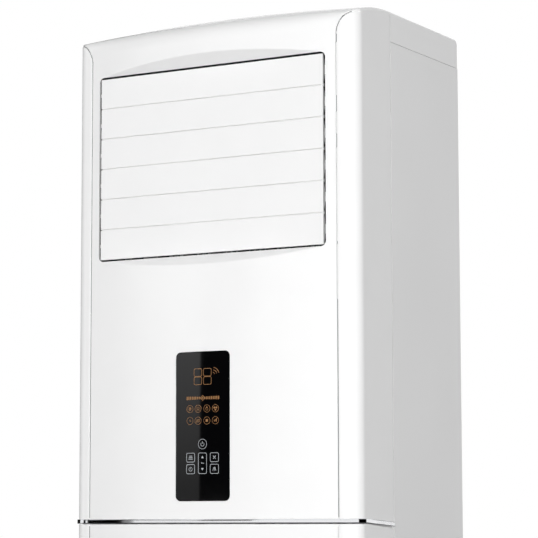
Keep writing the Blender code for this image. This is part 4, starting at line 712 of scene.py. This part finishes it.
def round_the_outlet(inset, steps=8):
    """Points round the edge of the outlet, this far inside it, as x and z."""
    radius = CORNER_ROUND - inset
    corners = ((1, OUTLET_LOW, -90), (1, OUTLET_HIGH, 0), (-1, OUTLET_HIGH, 90), (-1, OUTLET_LOW, 180))
    points = []
    for side, level, first in corners:
        middle_x = side * (OUTLET_HALF - CORNER_ROUND)
        middle_z = level + CORNER_ROUND * (1 if level == OUTLET_LOW else -1)
        for k in range(steps + 1):
            turn = math.radians(first + 90 * k / steps)
            points.append((middle_x + radius * math.cos(turn), middle_z + radius * math.sin(turn)))
        if first in (0, 180):
            end = points[-1]
            points += [(x, end[1]) for x in even(end[0], -end[0], 24)[:-1]]
    return points + points[:1]


def gap_shade_place(point, share):
    x, z = point
    return Vector((x, window_y(x, z, outlet_window) + GAP_SHADE_START + GAP_SHADE_DEPTH * share, z))


bm = draped(round_the_outlet(GAP_SHADE_INSET), [0.0, 1.0], gap_shade_place)
bmesh.ops.remove_doubles(bm, verts=bm.verts, dist=SMALL)
bmesh.ops.recalc_face_normals(bm, faces=bm.faces)
facing(bm, LEFT)
bmesh.ops.reverse_faces(bm, faces=bm.faces)  # the strip of painted shade looks inwards
as_piece(bm, "outlet_gap_shade", dark_abs, "cabinet", wall=GAP_SHADE_THICK)

# %% [markdown]
# ## The lower front
# The lower panel continues the same bow, with a window for the intake grille. It tilts forward on two
# pins for cleaning, so its lugs and pins ride with it. Its side edges fall away a little at the top,
# which lets it clear the strip above.

# %% Drape the lower front
PANEL_FALL = 0.0075  # how far the top of its flat side falls
HEEL, HEEL_DEPTH = 0.006, 0.005  # the corner cut off at its lower back edge
LOWER_WALL = 0.002  # thin enough to clear the ears of the base when the panel tilts
PANEL_RISE = 0.001  # how far it ends above the model's panel, close under the strip
PANEL_TOP = lower_high.z + PANEL_RISE
intake_window, intake_below, intake_above = window_rows(*INTAKE, CORNER_ROUND)
lower_rows = [level_row(lower_low.z)] + intake_below + intake_above + [level_row(PANEL_TOP)]
lower_columns = columns_across([(INTAKE[0], CORNER_ROUND)], CREASE_X + FINE_MARGIN)
lower_route = np.array([(CREASE_X, CREASE_Y, z) for z in np.arange(
    lower_low.z - ROUTE_PAST, lower_high.z + ROUTE_PAST, ROUTE_STEP)])


def lower_place(x, row):
    z = row(x)
    return Vector((x, window_y(x, z, intake_window), z))


def past_relief(share):
    """Second and last stops of the flat side: its top falls, and its heel is cut off."""
    def stop(p):
        z = p.z
        if z > PANEL_TOP - PANEL_FALL:
            z = PANEL_TOP - PANEL_FALL * share
        if z < lower_low.z + HEEL and share == 1.0:
            z = lower_low.z + HEEL
        return Vector((p.x, relief_y + (SIDE_END_Y - SHELL_SHORT - relief_y) * share, z))
    return stop


bm = draped(lower_columns, lower_rows, lower_place)
drop_faces(bm, lambda p: inside_window(p, *INTAKE))
print("groove points:", press_groove(bm, lower_route))
heel_share = 1 - HEEL_DEPTH / (SIDE_END_Y - relief_y)
side_flats(bm, [lambda p: Vector((p.x, relief_y, p.z)), past_relief(heel_share), past_relief(1.0)])
facing(bm, FRONT)
lower_shell = as_piece(bm, "lower_front_shell", gloss_white, "intake_panel", ["lower_front_panel"],
                       wall=LOWER_WALL, bevel=SHELL_BEVEL, segments=3, angle=60)
# painted shade of the lower crease's joint: a dark ribbon in the groove
crease_shade_ribbon("lower_crease_shade", lower_route, lower_shell,
             lower_low.z + 2 * JOINT_END, lower_high.z - JOINT_END, "intake_panel")

# %% [markdown]
# ### Lugs and pins of the hinge
# Each lug is a small block moulded onto the inside of the panel, with its edges broken, and each pin a
# short round bar that points outwards into an ear of the base.

# %% Hinge lugs and pins
def rod(bm, radius, length, segments):
    """A round bar about the origin, along Z."""
    return bmesh.ops.create_cone(bm, cap_ends=True, segments=segments, radius1=radius, radius2=radius,
                                 depth=length)["verts"]


HINGE_X, HINGE_Y, HINGE_Z = HALF - 0.034, FRONT_Y + 0.042, lower_low.z + 0.016
LUG_WIDE, LUG_PAST, LUG_FOOT, LUG_BEVEL = 0.008, 0.007, 0.0015, 0.0012
PIN_RADIUS, PIN_LENGTH = 0.004, 0.016
bm = bmesh.new()
for side in (-1, 1):
    face, foot = front_y(HINGE_X) + LOWER_WALL * 0.5, lower_low.z + LUG_FOOT
    deep, tall = HINGE_Y + LUG_PAST - face, HINGE_Z + LUG_PAST - foot
    lug = bmesh.ops.create_cube(bm, size=1.0)["verts"]
    bmesh.ops.scale(bm, vec=(LUG_WIDE, deep, tall), verts=lug)
    bmesh.ops.translate(bm, vec=(side * HINGE_X, face + deep / 2, foot + tall / 2), verts=lug)
    edges = list({e for v in lug for e in v.link_edges})
    bmesh.ops.bevel(bm, geom=edges, offset=LUG_BEVEL, segments=2, affect="EDGES", profile=0.5, material=-1)
    pin = rod(bm, PIN_RADIUS, PIN_LENGTH, 24)
    bmesh.ops.rotate(bm, cent=(0, 0, 0), matrix=Matrix.Rotation(math.pi / 2, 3, "Y"), verts=pin)
    bmesh.ops.translate(bm, vec=(side * (HINGE_X + PIN_LENGTH / 2), HINGE_Y, HINGE_Z), verts=pin)
as_piece(bm, "panel_hinge_pins", gloss_white, "intake_panel", smooth=False)

# %% [markdown]
# ## The filter net
# The dust filter is a frame with a fine polypropylene net welded across it. A real net has a thread
# every millimetre and a half. Drawn that fine it would only shimmer, so the threads here stand four
# millimetres apart. Each is a thin square bar, the crosswise ones just behind the upright ones.

# %% Filter net
net_low, net_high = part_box("air_filter")
NET_PITCH, NET_THREAD, NET_MARGIN = 0.004, 0.0006, 0.006
net_y, net_z = (net_low.y + net_high.y) / 2, (net_low.z + net_high.z) / 2
wide, tall = net_high.x - net_low.x - 2 * NET_MARGIN, net_high.z - net_low.z - 2 * NET_MARGIN
bm = bmesh.new()
for across, span, length in ((True, wide, tall), (False, tall, wide)):
    count = int(span / NET_PITCH)
    for k in range(count + 1):
        offset = (k - count / 2) * NET_PITCH
        thread = bmesh.ops.create_cube(bm, size=1.0)["verts"]
        size = (NET_THREAD, NET_THREAD, length, 1) if across else (length, NET_THREAD, NET_THREAD, 1)
        spot = (offset, net_y, net_z) if across else (0.0, net_y + NET_THREAD, net_z + offset)
        bmesh.ops.transform(bm, matrix=Matrix.Translation(spot) @ Matrix.Diagonal(size), verts=thread)
as_piece(bm, "filter_net", net_thread, "intake_panel", smooth=False)

# %% [markdown]
# ## The top cover
# The cover is a shallow moulded cap. Its crown continues the front's top, its side edges are rounded
# by the same radius, and its skirt hides the upper ends of the sheets.

# %% Drape the top cover
COVER_ROUND, SEAM_ROUND = 0.004, 0.0012
COVER_WALL, COVER_BEVEL = 0.0025, 0.0010
edge = HALF - EDGE_ROUND
cover_columns = mirrored([0.0] + even(0.0, edge, 12) + quarter(edge, EDGE_ROUND, 10))
cover_rows = [("front", 0.0)] + [("seam", k / 4) for k in range(5)] + [("top", k / 6) for k in range(1, 6)]
cover_rows += [("back", k / 8) for k in range(9)] + [("hem", 1.0)]


def cover_place(x, row):
    kind, share = row
    roof = roof_z(x)
    near, far = cover_low.y, cover_high.y
    if kind in ("front", "hem"):
        return Vector((x, near if kind == "front" else far, cover_low.z))
    if kind == "top":
        start = near + SEAM_ROUND
        return Vector((x, start + (far - COVER_ROUND - start) * share, roof))
    up, along = 1 - math.sin(math.radians(90 * share)), 1 - math.cos(math.radians(90 * share))
    if kind == "seam":
        return Vector((x, near + SEAM_ROUND * along, roof - SEAM_ROUND * up))
    return Vector((x, far - COVER_ROUND * up, roof - COVER_ROUND * along))


bm = draped(cover_columns, cover_rows, cover_place)
side_flats(bm, [lambda p: Vector((p.x, p.y, cover_low.z))])
facing(bm, UP)
as_piece(bm, "top_cover_shell", gloss_white, "cabinet", ["top_cover"],
         wall=COVER_WALL, bevel=COVER_BEVEL, angle=60)

# %% [markdown]
# ## The chrome strip
# A narrow chrome-plated bead runs round the front between the two panels. It stands 2 mm proud, and
# its face is slightly rounded across, as plated mouldings are, because plating builds up on sharp
# edges.

# %% Chrome strip
BEAD_BACK, BEAD_POWER, BEAD_WALL = 0.0007, 8, 0.0048  # how far and how sharply its edges stand back
proud = trim_high.x - HALF
strip_right = mirrored([0.0] + even(0.0, CREASE_X, 40) + quarter(CREASE_X, COLUMN_WIDTH, 18))
trim_route = [(x * (HALF + proud) / HALF, front_y(x) - proud) for x in strip_right]
trim_route = [(trim_route[0][0], SIDE_END_Y), (trim_route[0][0], relief_y)] + trim_route
trim_route += [(trim_route[-1][0], relief_y), (trim_route[-1][0], SIDE_END_Y)]
trim_rows = [-1.0, -0.97, -0.9, -0.75, -0.5, -0.25, 0.0, 0.25, 0.5, 0.75, 0.9, 0.97, 1.0]
trim_mid, trim_half = (trim_low.z + trim_high.z) / 2, (trim_high.z - trim_low.z) / 2


def trim_place(point, share):
    """The face stands back near its two edges, by a rounding that gets steeper towards them."""
    back = BEAD_BACK * (1 - math.sqrt(max(0.0, 1 - abs(share) ** BEAD_POWER)))
    x, y = point
    side = max(0.0, (abs(x) - CREASE_X) / (HALF + proud - CREASE_X))
    fall = SEAM_FALL * max(0.0, (y - relief_y) / (SIDE_END_Y - relief_y))
    z = trim_mid + trim_half * share - fall
    return Vector((x - math.copysign(back * side, x), y + back * (1 - side), z))


bm = draped(trim_route, trim_rows, trim_place)
bmesh.ops.recalc_face_normals(bm, faces=bm.faces)
facing(bm, FRONT)
as_piece(bm, "chrome_bead", chrome_plate, "cabinet", ["trim_strip"], wall=BEAD_WALL)

# %% [markdown]
# ## Screws of the back
# The back sheet is held by pan-head screws along its two edges. A pan head is a low drum with a rolled
# edge, which a bevel of its upper rim gives. The cross recess is not cut: its shade is painted as two
# short dark slots.

# %% Back screws
back_low, back_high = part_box("back_panel")
SCREWS, SCREW_RADIUS, SCREW_RISE, SCREW_ROUND = 6, 0.0042, 0.0013, 0.0006
SCREW_INSET, SCREW_END = 0.010, 0.03  # from the side edges, and from the ends of the sheet
SLOT_SIZE = (0.0044, 0.00008, 0.0008, 1)
screws, slots = bmesh.new(), bmesh.new()
for side in (-1, 1):
    for k in range(SCREWS):
        x = side * (back_high.x - SCREW_INSET)
        z = back_low.z + SCREW_END + (back_high.z - back_low.z - 2 * SCREW_END) * k / (SCREWS - 1)
        head = rod(screws, SCREW_RADIUS, SCREW_RISE, 20)
        edges = {e for v in head for e in v.link_edges}
        rim = [e for e in edges if all(v.co.z > 0 and v in head for v in e.verts)]
        known = set(screws.verts)
        bmesh.ops.bevel(screws, geom=rim, offset=SCREW_ROUND, segments=3, affect="EDGES", profile=0.5,
                        material=-1)
        whole = [v for v in screws.verts if v.is_valid and (v in head or v not in known)]
        upright = Matrix.Rotation(-math.pi / 2, 4, "X")
        stand = Matrix.Translation((x, back_high.y + SCREW_RISE / 2, z)) @ upright
        bmesh.ops.transform(screws, matrix=stand, verts=whole)
        # the recess's painted shade: two thin dark slabs laid on the head
        for turn in (20, 110):
            slot = bmesh.ops.create_cube(slots, size=1.0)["verts"]
            spin = Matrix.Rotation(math.radians(turn + 15 * k), 4, "Y")
            place = Matrix.Translation((x, back_high.y + SCREW_RISE, z)) @ spin @ Matrix.Diagonal(SLOT_SIZE)
            bmesh.ops.transform(slots, matrix=place, verts=slot)
as_piece(screws, "back_screws", zinc_screw, "cabinet", smooth=False)
as_piece(slots, "back_screw_recess_shade", joint_shadow, "cabinet", smooth=False)

# %% [markdown]
# ## The display window
# The window is a slip of smoked acrylic let into the front, flush with the bow. Its signs come in two
# inks: amber outlines for the lit signs and pale grey for the keys. The acrylic is so dark that an
# opaque black gloss gives the same look, and only its edge needs a bevel.

# %% Display window
LENS_PLAY, LENS_SINK, LENS_WALL, LENS_BEVEL = 0.0003, 0.0002, 0.0012, 0.0003
lens_straight = display_half - display_round
glass_columns = mirrored([0.0] + even(0.0, lens_straight, 8)
                         + quarter(lens_straight, display_round - LENS_PLAY, 6))


def lens_place(x, share):
    low = rounded_edge(x, display_half, glass_low.z + LENS_PLAY, 1, display_round)
    high = rounded_edge(x, display_half, glass_high.z - LENS_PLAY, -1, display_round)
    return Vector((x, front_y(x) + LENS_SINK, low + (high - low) * share))


bm = draped(glass_columns, [0.0, 1.0], lens_place)
facing(bm, FRONT)
as_piece(bm, "display_lens", smoked_acrylic, "cabinet", ["display_glass"],
         wall=LENS_WALL, bevel=LENS_BEVEL, angle=60)

# %% [markdown]
# ## The signs on the display
# Real signs are printed on the back of the window and lit from behind. This window is opaque, so they
# lie on its face. Drawn flat, each is a plate with rounded corners or a disc, and `inset_region` leaves
# a line of even width along its edge. The drawing is then laid on the bow of the window and given the
# thickness of a film of ink. The signs are plain ones that any such unit might have: two digits, a
# scale, a few round lamps and six keys.

# %% Helpers for flat signs
INK_STAND, INK_FILM = 0.00005, 0.0002  # how far the print's face lies from the bow, and its thickness
LINE = 0.0005
SIGN_DROP = 0.0020  # the whole print sits this much lower in its window


def plate(bm, x, z, wide, tall, corner, turn=0.0):
    """A flat rounded rectangle, with x across and z up."""
    known = set(bm.faces)
    made = bmesh.ops.create_grid(bm, x_segments=1, y_segments=1, size=0.5)["verts"]
    spin = Matrix.Rotation(turn, 4, "Z") @ Matrix.Diagonal((wide, tall, 1, 1))
    bmesh.ops.transform(bm, matrix=Matrix.Translation((x, z, 0)) @ spin, verts=made)
    bmesh.ops.bevel(bm, geom=made, offset=corner, segments=3, profile=0.5, affect="VERTICES", material=-1)
    return [face for face in bm.faces if face not in known]


def disc(bm, x, z, radius, segments=24, turn=0.0):
    known = set(bm.faces)
    place = Matrix.Translation((x, z, 0)) @ Matrix.Rotation(turn, 4, "Z")
    bmesh.ops.create_circle(bm, cap_ends=True, segments=segments, radius=radius, matrix=place)
    return [face for face in bm.faces if face not in known]


def outlined(bm, faces, line=LINE, keep=None):
    """Leaves only a line along the edge of a plate or disc, or only the part of it that keep allows."""
    rim = bmesh.ops.inset_region(bm, faces=faces, thickness=line, use_even_offset=True,
                                 use_boundary=True)["faces"]
    gone = list(faces) + [face for face in rim if keep and not keep(face.calc_center_median())]
    bmesh.ops.delete(bm, geom=gone, context="FACES")


def strokes(bm, x, z, marks):
    """Bars about a centre. A mark is across, up, wide and tall in millimetres, and a turn in degrees."""
    for across, up, wide, tall, turn in marks:
        wide, tall = wide / 1000, tall / 1000
        plate(bm, x + across / 1000, z + up / 1000, wide, tall, min(wide, tall) * 0.3, math.radians(turn))


def spokes(count, reach, wide, tall, first=0):
    """Marks of bars that point outwards all round."""
    turns = [first + 360 * k / count for k in range(count)]
    return [(reach * math.cos(math.radians(t)), reach * math.sin(math.radians(t)), wide, tall, t)
            for t in turns]


def as_print(bm, name, ink):
    """Lays a flat drawing on the window's bow as a film of ink."""
    for vert in bm.verts:
        vert.co = (vert.co.x, front_y(vert.co.x) + INK_STAND, vert.co.y - SIGN_DROP)
    bmesh.ops.recalc_face_normals(bm, faces=bm.faces)
    inward = [face for face in bm.faces if face.normal.y > 0]
    bmesh.ops.reverse_faces(bm, faces=inward)
    return as_piece(bm, name, ink, "cabinet", wall=INK_FILM, smooth=False)


def ink(name, colour, shade, glow):
    """Translucent printing ink with a lamp behind it: slightly mottled, and giving a little light."""
    made, tree, shader, place = new_finish(name, colour, 0.5, Emission_Strength=glow)
    shader.inputs["Emission Color"].default_value = linear(colour)
    mottle = add(tree, "ShaderNodeTexNoise", {"Vector": place, "Scale": per_metre(3), "Detail": 2.0})
    tint(tree, shader, mottle.outputs["Fac"], shade, colour)
    return made


amber_ink = ink("amber_lit_ink", "#96704A", "#7A5432", 0.22)
grey_ink = ink("grey_key_ink", "#B4B8BC", "#A2A6AA", 0.15)

# %% Digits, signal arcs and scale
THIN, BOLD = 0.0006, 0.0008  # lines of small and of large signs
DIGIT_X, DIGIT_Z, DIGIT_SIZE = (-0.0084, 0.0095), (1.2485, 1.2351), (0.0152, 0.0130, 0.0026)
SIGNAL_X, SIGNAL_Z = 0.0196, 1.2440
SCALE_X, SCALE_Z, SCALE_STEP_MM = 0.0008, 1.2073, 3.3


def in_signal(p):
    """The part of a ring that lies between the two arms of the signal."""
    across, up = p.x - SIGNAL_X, p.y - SIGNAL_Z
    return across > abs(up) * 0.18 and up > across * 0.25


bm = bmesh.new()
for x in DIGIT_X:
    for z in DIGIT_Z:
        outlined(bm, plate(bm, x, z, *DIGIT_SIZE), 0.0007)
for radius in (0.0042, 0.0082, 0.0122):
    outlined(bm, disc(bm, SIGNAL_X, SIGNAL_Z, radius, 48), BOLD, in_signal)
strokes(bm, SCALE_X, SCALE_Z, [(k * SCALE_STEP_MM, 0, 1.9, 3.6 + 0.24 * abs(k), 0) for k in range(-9, 10)])
outlined(bm, disc(bm, SCALE_X, SCALE_Z, 0.0046, 4), BOLD)
print(len(bm.faces), "faces of digits, signal and scale")

# %% [markdown]
# ### Lamps
# Eight rings hold signs made of short bars and discs. The bars of a sign are a small table, in
# millimetres from its middle, which is easier to read and to change than a list of calls.

# %% Round lamps
LAMP_X, LAMP_Z, LAMP_RADIUS = (-0.0235, -0.0080, 0.0086, 0.0246), (1.1901, 1.1709), 0.0062
BLADE_REACH = 0.0023
for x in LAMP_X:
    for z in LAMP_Z:
        outlined(bm, disc(bm, x, z, LAMP_RADIUS, 28))
upper, lower = LAMP_Z
frost, sun, drop, fan = LAMP_X
strokes(bm, frost, upper, [(0, 0, 7.6, 0.7, 60 * k) for k in range(3)])
outlined(bm, disc(bm, sun, upper, 0.0021, 16))
strokes(bm, sun, upper, spokes(8, 3.6, 1.4, 0.6))
outlined(bm, disc(bm, drop, upper - 0.0006, 0.0024, 16), THIN)
disc(bm, drop, upper + 0.0024, 0.0016, 3)
for k in range(3):
    turn = math.radians(120 * k + 30)
    disc(bm, fan + BLADE_REACH * math.cos(turn), upper + BLADE_REACH * math.sin(turn), 0.0016, 12)
clock, warmth, full, level = LAMP_X
strokes(bm, clock, lower, [(0, 1.0, 0.7, 3.2, 0), (1.0, -0.4, 2.6, 0.7, 0)])
strokes(bm, warmth, lower, [(2.2 * k, 0, 0.8, 5.8, -14) for k in (-1, 0, 1)])
disc(bm, full, lower, 0.0030, 4, math.radians(45))
strokes(bm, level, lower, [(2.0 * k, 0.6 * k, 1.1, 4.0 + 1.2 * k, 0) for k in (-1, 0, 1)])
as_print(bm, "display_lamps", amber_ink)

# %% [markdown]
# ### Keys
# The keys are printed too: one round key above, and a tall rocker key between two pairs of square ones.

# %% Keys
POWER_X, POWER_Z, ROCKER_Z = 0.0004, 1.1333, 1.1026
KEY_X, KEY_ROWS, KEY_WIDE = (-0.0221, 0.0228), ((1.1119, 0.0150), (1.0934, 0.0155)), 0.0162
bm = bmesh.new()
outlined(bm, disc(bm, POWER_X, POWER_Z, 0.0082, 36), THIN)
outlined(bm, disc(bm, POWER_X, POWER_Z - 0.0003, 0.0034, 24), THIN, lambda p: p.y < POWER_Z + 0.0018)
strokes(bm, POWER_X, POWER_Z, [(0, 2.4, 0.8, 3.6, 0)])
for x in KEY_X:
    for z, tall in KEY_ROWS:
        outlined(bm, plate(bm, x, z, KEY_WIDE, tall, 0.0026), 0.0007)
outlined(bm, plate(bm, POWER_X, ROCKER_Z, KEY_WIDE, 0.0337, 0.0030), 0.0007)
disc(bm, POWER_X, 1.1120, 0.0026, 3)
disc(bm, POWER_X, 1.0936, 0.0026, 3, math.pi)
outlined(bm, disc(bm, POWER_X - 0.0012, ROCKER_Z + 0.0004, 0.0013, 12))
strokes(bm, POWER_X, ROCKER_Z, [(1.8, 0, 2.6, 0.8, 20)])
(left_key, right_key), ((high_key, _), (low_key, _)) = KEY_X, KEY_ROWS
strokes(bm, left_key, high_key, [(0, 2.4 * k, 7.0 - 1.2 * k, 0.9, 0) for k in (-1, 0, 1)])
outlined(bm, disc(bm, left_key, low_key, 0.0034, 20), THIN)
strokes(bm, left_key, low_key, [(0, 0.9, 0.7, 2.6, 0)])
strokes(bm, right_key, high_key, spokes(4, 2.0, 2.8, 1.1, 45))
strokes(bm, right_key, low_key, [(2.0 * k, 0, 0.8, 6.0, 18 * k) for k in (-1, 0, 1)])
as_print(bm, "display_keys", grey_ink)

# %% [markdown]
# ## Camera
# The photograph was taken from the front right, from about the height of the strip and with a long
# lens. The camera's place was found by matching the corners of the object in the picture.

# %% Camera
CAMERA_TURN, CAMERA_RISE, CAMERA_ROLL = 0.5282, 0.1128, -0.002
CAMERA_AIM, CAMERA_DISTANCE, LENS_MM = Vector((0.0087, 0.0, 1.4328)), 3.7753, 149.05
level_share = math.cos(CAMERA_RISE)
ahead = Vector((-math.sin(CAMERA_TURN) * level_share, math.cos(CAMERA_TURN) * level_share,
                math.sin(CAMERA_RISE)))
right = Vector((math.cos(CAMERA_TURN), math.sin(CAMERA_TURN), 0.0))
above = right.cross(ahead)
turned_right = right * math.cos(CAMERA_ROLL) + above * math.sin(CAMERA_ROLL)
turned_above = turned_right.cross(ahead)
camera_data = bpy.data.cameras.new("camera")
camera_data.lens, camera_data.sensor_width, camera_data.sensor_fit = LENS_MM, 36.0, "HORIZONTAL"
camera = bpy.data.objects.new("camera", camera_data)
bpy.context.scene.collection.objects.link(camera)
axes = Matrix((turned_right, turned_above, -ahead)).transposed().to_4x4()
camera.matrix_world = Matrix.Translation(CAMERA_AIM - ahead * CAMERA_DISTANCE) @ axes
bpy.context.scene.camera = camera
bpy.context.scene.view_settings.view_transform = "Standard"
print("camera at", [round(v, 3) for v in camera.matrix_world.translation])


# %% [markdown]
# ## Light and stage
# Product pictures of white goods use one very large soft light beside the camera and a white room.
# Black cards outside the picture give the chrome and the dark glass something to reflect, or they
# would look white too. The cards are seen by reflections only.

# %% World and lamps
world = bpy.data.worlds.new("white_room")
bpy.context.scene.world = world
world.use_nodes = True
tree = world.node_tree
tree.nodes.clear()
ROOM_LEVEL = 0.07  # what the room sends to matt surfaces
path = add(tree, "ShaderNodeLightPath").outputs
direct = add(tree, "ShaderNodeMath", {0: path["Is Camera Ray"], 1: path["Is Glossy Ray"]},
             operation="MAXIMUM")
seen = add(tree, "ShaderNodeMath", {0: direct.outputs[0], 1: path["Is Transmission Ray"]},
           operation="MAXIMUM")
level = add(tree, "ShaderNodeMapRange", {"Value": seen.outputs[0], "To Min": ROOM_LEVEL, "To Max": 1.0})
sky = add(tree, "ShaderNodeBackground", {"Color": (1, 1, 1, 1), "Strength": level.outputs["Result"]})
add(tree, "ShaderNodeOutputWorld", {"Surface": sky.outputs["Background"]})
LIT_HEIGHT = 1.2  # all lamps are aimed at this height of the object


def softbox(name, turn_degrees, height, brightness, distance=5.0, size=3.0):
    """A square lamp that lights a matt white surface facing it to the given brightness."""
    lamp = bpy.data.lights.new(name, "AREA")
    lamp.shape, lamp.size = "SQUARE", size
    made = bpy.data.objects.new(name, lamp)
    bpy.context.scene.collection.objects.link(made)
    turn = math.radians(turn_degrees)
    spot = Vector((distance * math.sin(turn), -distance * math.cos(turn), height))
    aim = Vector((0, 0, LIT_HEIGHT)) - spot
    lamp.energy = math.pi**2 * brightness * aim.length_squared
    made.matrix_world = Matrix.Translation(spot) @ aim.to_track_quat("-Z", "Y").to_matrix().to_4x4()
    made.visible_camera = made.visible_glossy = made.visible_transmission = False


softbox("key_softbox", 17, 1.35, 1.09)
softbox("right_softbox", 100, 1.8, 0.32)
softbox("rear_softbox", 205, 4.5, 0.60)
softbox("left_softbox", -100, 1.8, 0.70)
softbox("top_softbox", 0, 6.0, 0.04, distance=0.5)
print(len(bpy.data.lights), "lamps")

# %% [markdown]
# ### Floor
# The floor is pale where the camera looks at it and fades to the white of the background further out, by
# a mix of its paint with a white light that only the camera sees. For light that bounces off it the
# floor is darker, or it would brighten the underside of everything. It keeps the object's shadow.

# %% Floor
FADE_START, FADE_END, FLOOR_SIZE = 0.7, 2.2, 12.0  # the fade by distance, and half the floor's width
floor_white, tree, shader, place = new_finish("painted_floor", "#F0F0EE", 0.8, Specular_IOR_Level=0.0)
mottle = add(tree, "ShaderNodeTexNoise", {"Vector": place, "Scale": per_metre(400), "Detail": 2.0})
tint(tree, shader, mottle.outputs["Fac"], "#EEEEEC", "#F2F2F0")
pale = shader.inputs["Base Color"].links[0].from_socket
seen_by_camera = add(tree, "ShaderNodeLightPath").outputs["Is Camera Ray"]
bounce = add(tree, "ShaderNodeMixRGB", {
    "Fac": seen_by_camera, "Color1": linear("#5E5E5E"), "Color2": pale,
})
tree.links.new(bounce.outputs["Color"], shader.inputs["Base Color"])
away = add(tree, "ShaderNodeVectorMath", {0: place}, operation="LENGTH").outputs["Value"]
fade = add(tree, "ShaderNodeMapRange", {"Value": away, "From Min": FADE_START, "From Max": FADE_END},
           interpolation_type="SMOOTHSTEP")
white = add(tree, "ShaderNodeEmission", {"Color": (1, 1, 1, 1)})
faded = add(tree, "ShaderNodeMath", {0: fade.outputs["Result"], 1: seen_by_camera}, operation="MULTIPLY")
ends = add(tree, "ShaderNodeMixShader", {
    0: faded.outputs[0], 1: shader.outputs["BSDF"], 2: white.outputs["Emission"],
})
tree.links.new(ends.outputs["Shader"], tree.nodes["Material Output"].inputs["Surface"])
bm = bmesh.new()
bmesh.ops.create_grid(bm, x_segments=1, y_segments=1, size=FLOOR_SIZE)
floor = new_object(bm, "floor", floor_white)
print("floor", 2 * FLOOR_SIZE, "m wide")

# %% [markdown]
# ### Cards
# A card is a piece of a cylinder round the object, black or shaded from one grey to another. Where a card
# stands, a glossy surface that faces halfway between it and the camera turns dark. The bearings were
# found by trying, until the columns, the strip and the window looked as they do in the photograph.

# %% Cards
def card(name, turns, rises, shades=("#000000", "#000000"), lean=0.0, distance=7.0, eye=1.05):
    """A curved card that only reflections see, from one bearing to another and one height to another, in
    degrees. Its two shades are those of its lower and its upper edge."""
    bm = bmesh.new()
    bmesh.ops.create_grid(bm, x_segments=12, y_segments=1, size=0.5)
    heights = [eye + distance * math.tan(math.radians(rise)) for rise in rises]
    for vert in bm.verts:
        turn = math.radians(turns[0] + (turns[1] - turns[0]) * (vert.co.x + 0.5) + lean * (0.5 - vert.co.y))
        vert.co = (distance * math.sin(turn), -distance * math.cos(turn), heights[vert.co.y > 0])
    cloth = bpy.data.materials.new(name + "_cloth")
    cloth.use_nodes = True
    tree = cloth.node_tree
    tree.nodes.clear()
    place = add(tree, "ShaderNodeTexCoord").outputs["Object"]
    up = add(tree, "ShaderNodeSeparateXYZ", {"Vector": place}).outputs["Z"]
    share = add(tree, "ShaderNodeMapRange", {
        "Value": up, "From Min": heights[0], "From Max": heights[1],
    })
    shade = add(tree, "ShaderNodeMixRGB", {
        "Fac": share.outputs["Result"], "Color1": linear(shades[0]), "Color2": linear(shades[1]),
    })
    glow = add(tree, "ShaderNodeEmission", {"Color": shade.outputs["Color"]})
    add(tree, "ShaderNodeOutputMaterial", {"Surface": glow.outputs["Emission"]})
    made = new_object(bm, name, cloth)
    made.visible_camera = made.visible_diffuse = made.visible_shadow = made.visible_transmission = False


TALL = (-30, 40)
card("card_left", (-58.5, -49), TALL)
card("card_left_edge", (-49, -46.5), TALL, ("#8C8C8C", "#8C8C8C"))
card("card_far_left", (-140, -82), TALL)
card("card_behind_left", (-149, -140), (-30, 5))
card("card_right", (68, 143), TALL)
card("card_display", (-31.1, -20), (0.25, 14), lean=-0.7)
card("card_fade", (-46, -30), (0.25, 7), ("#959595", "#FFFFFF"), distance=7.1)
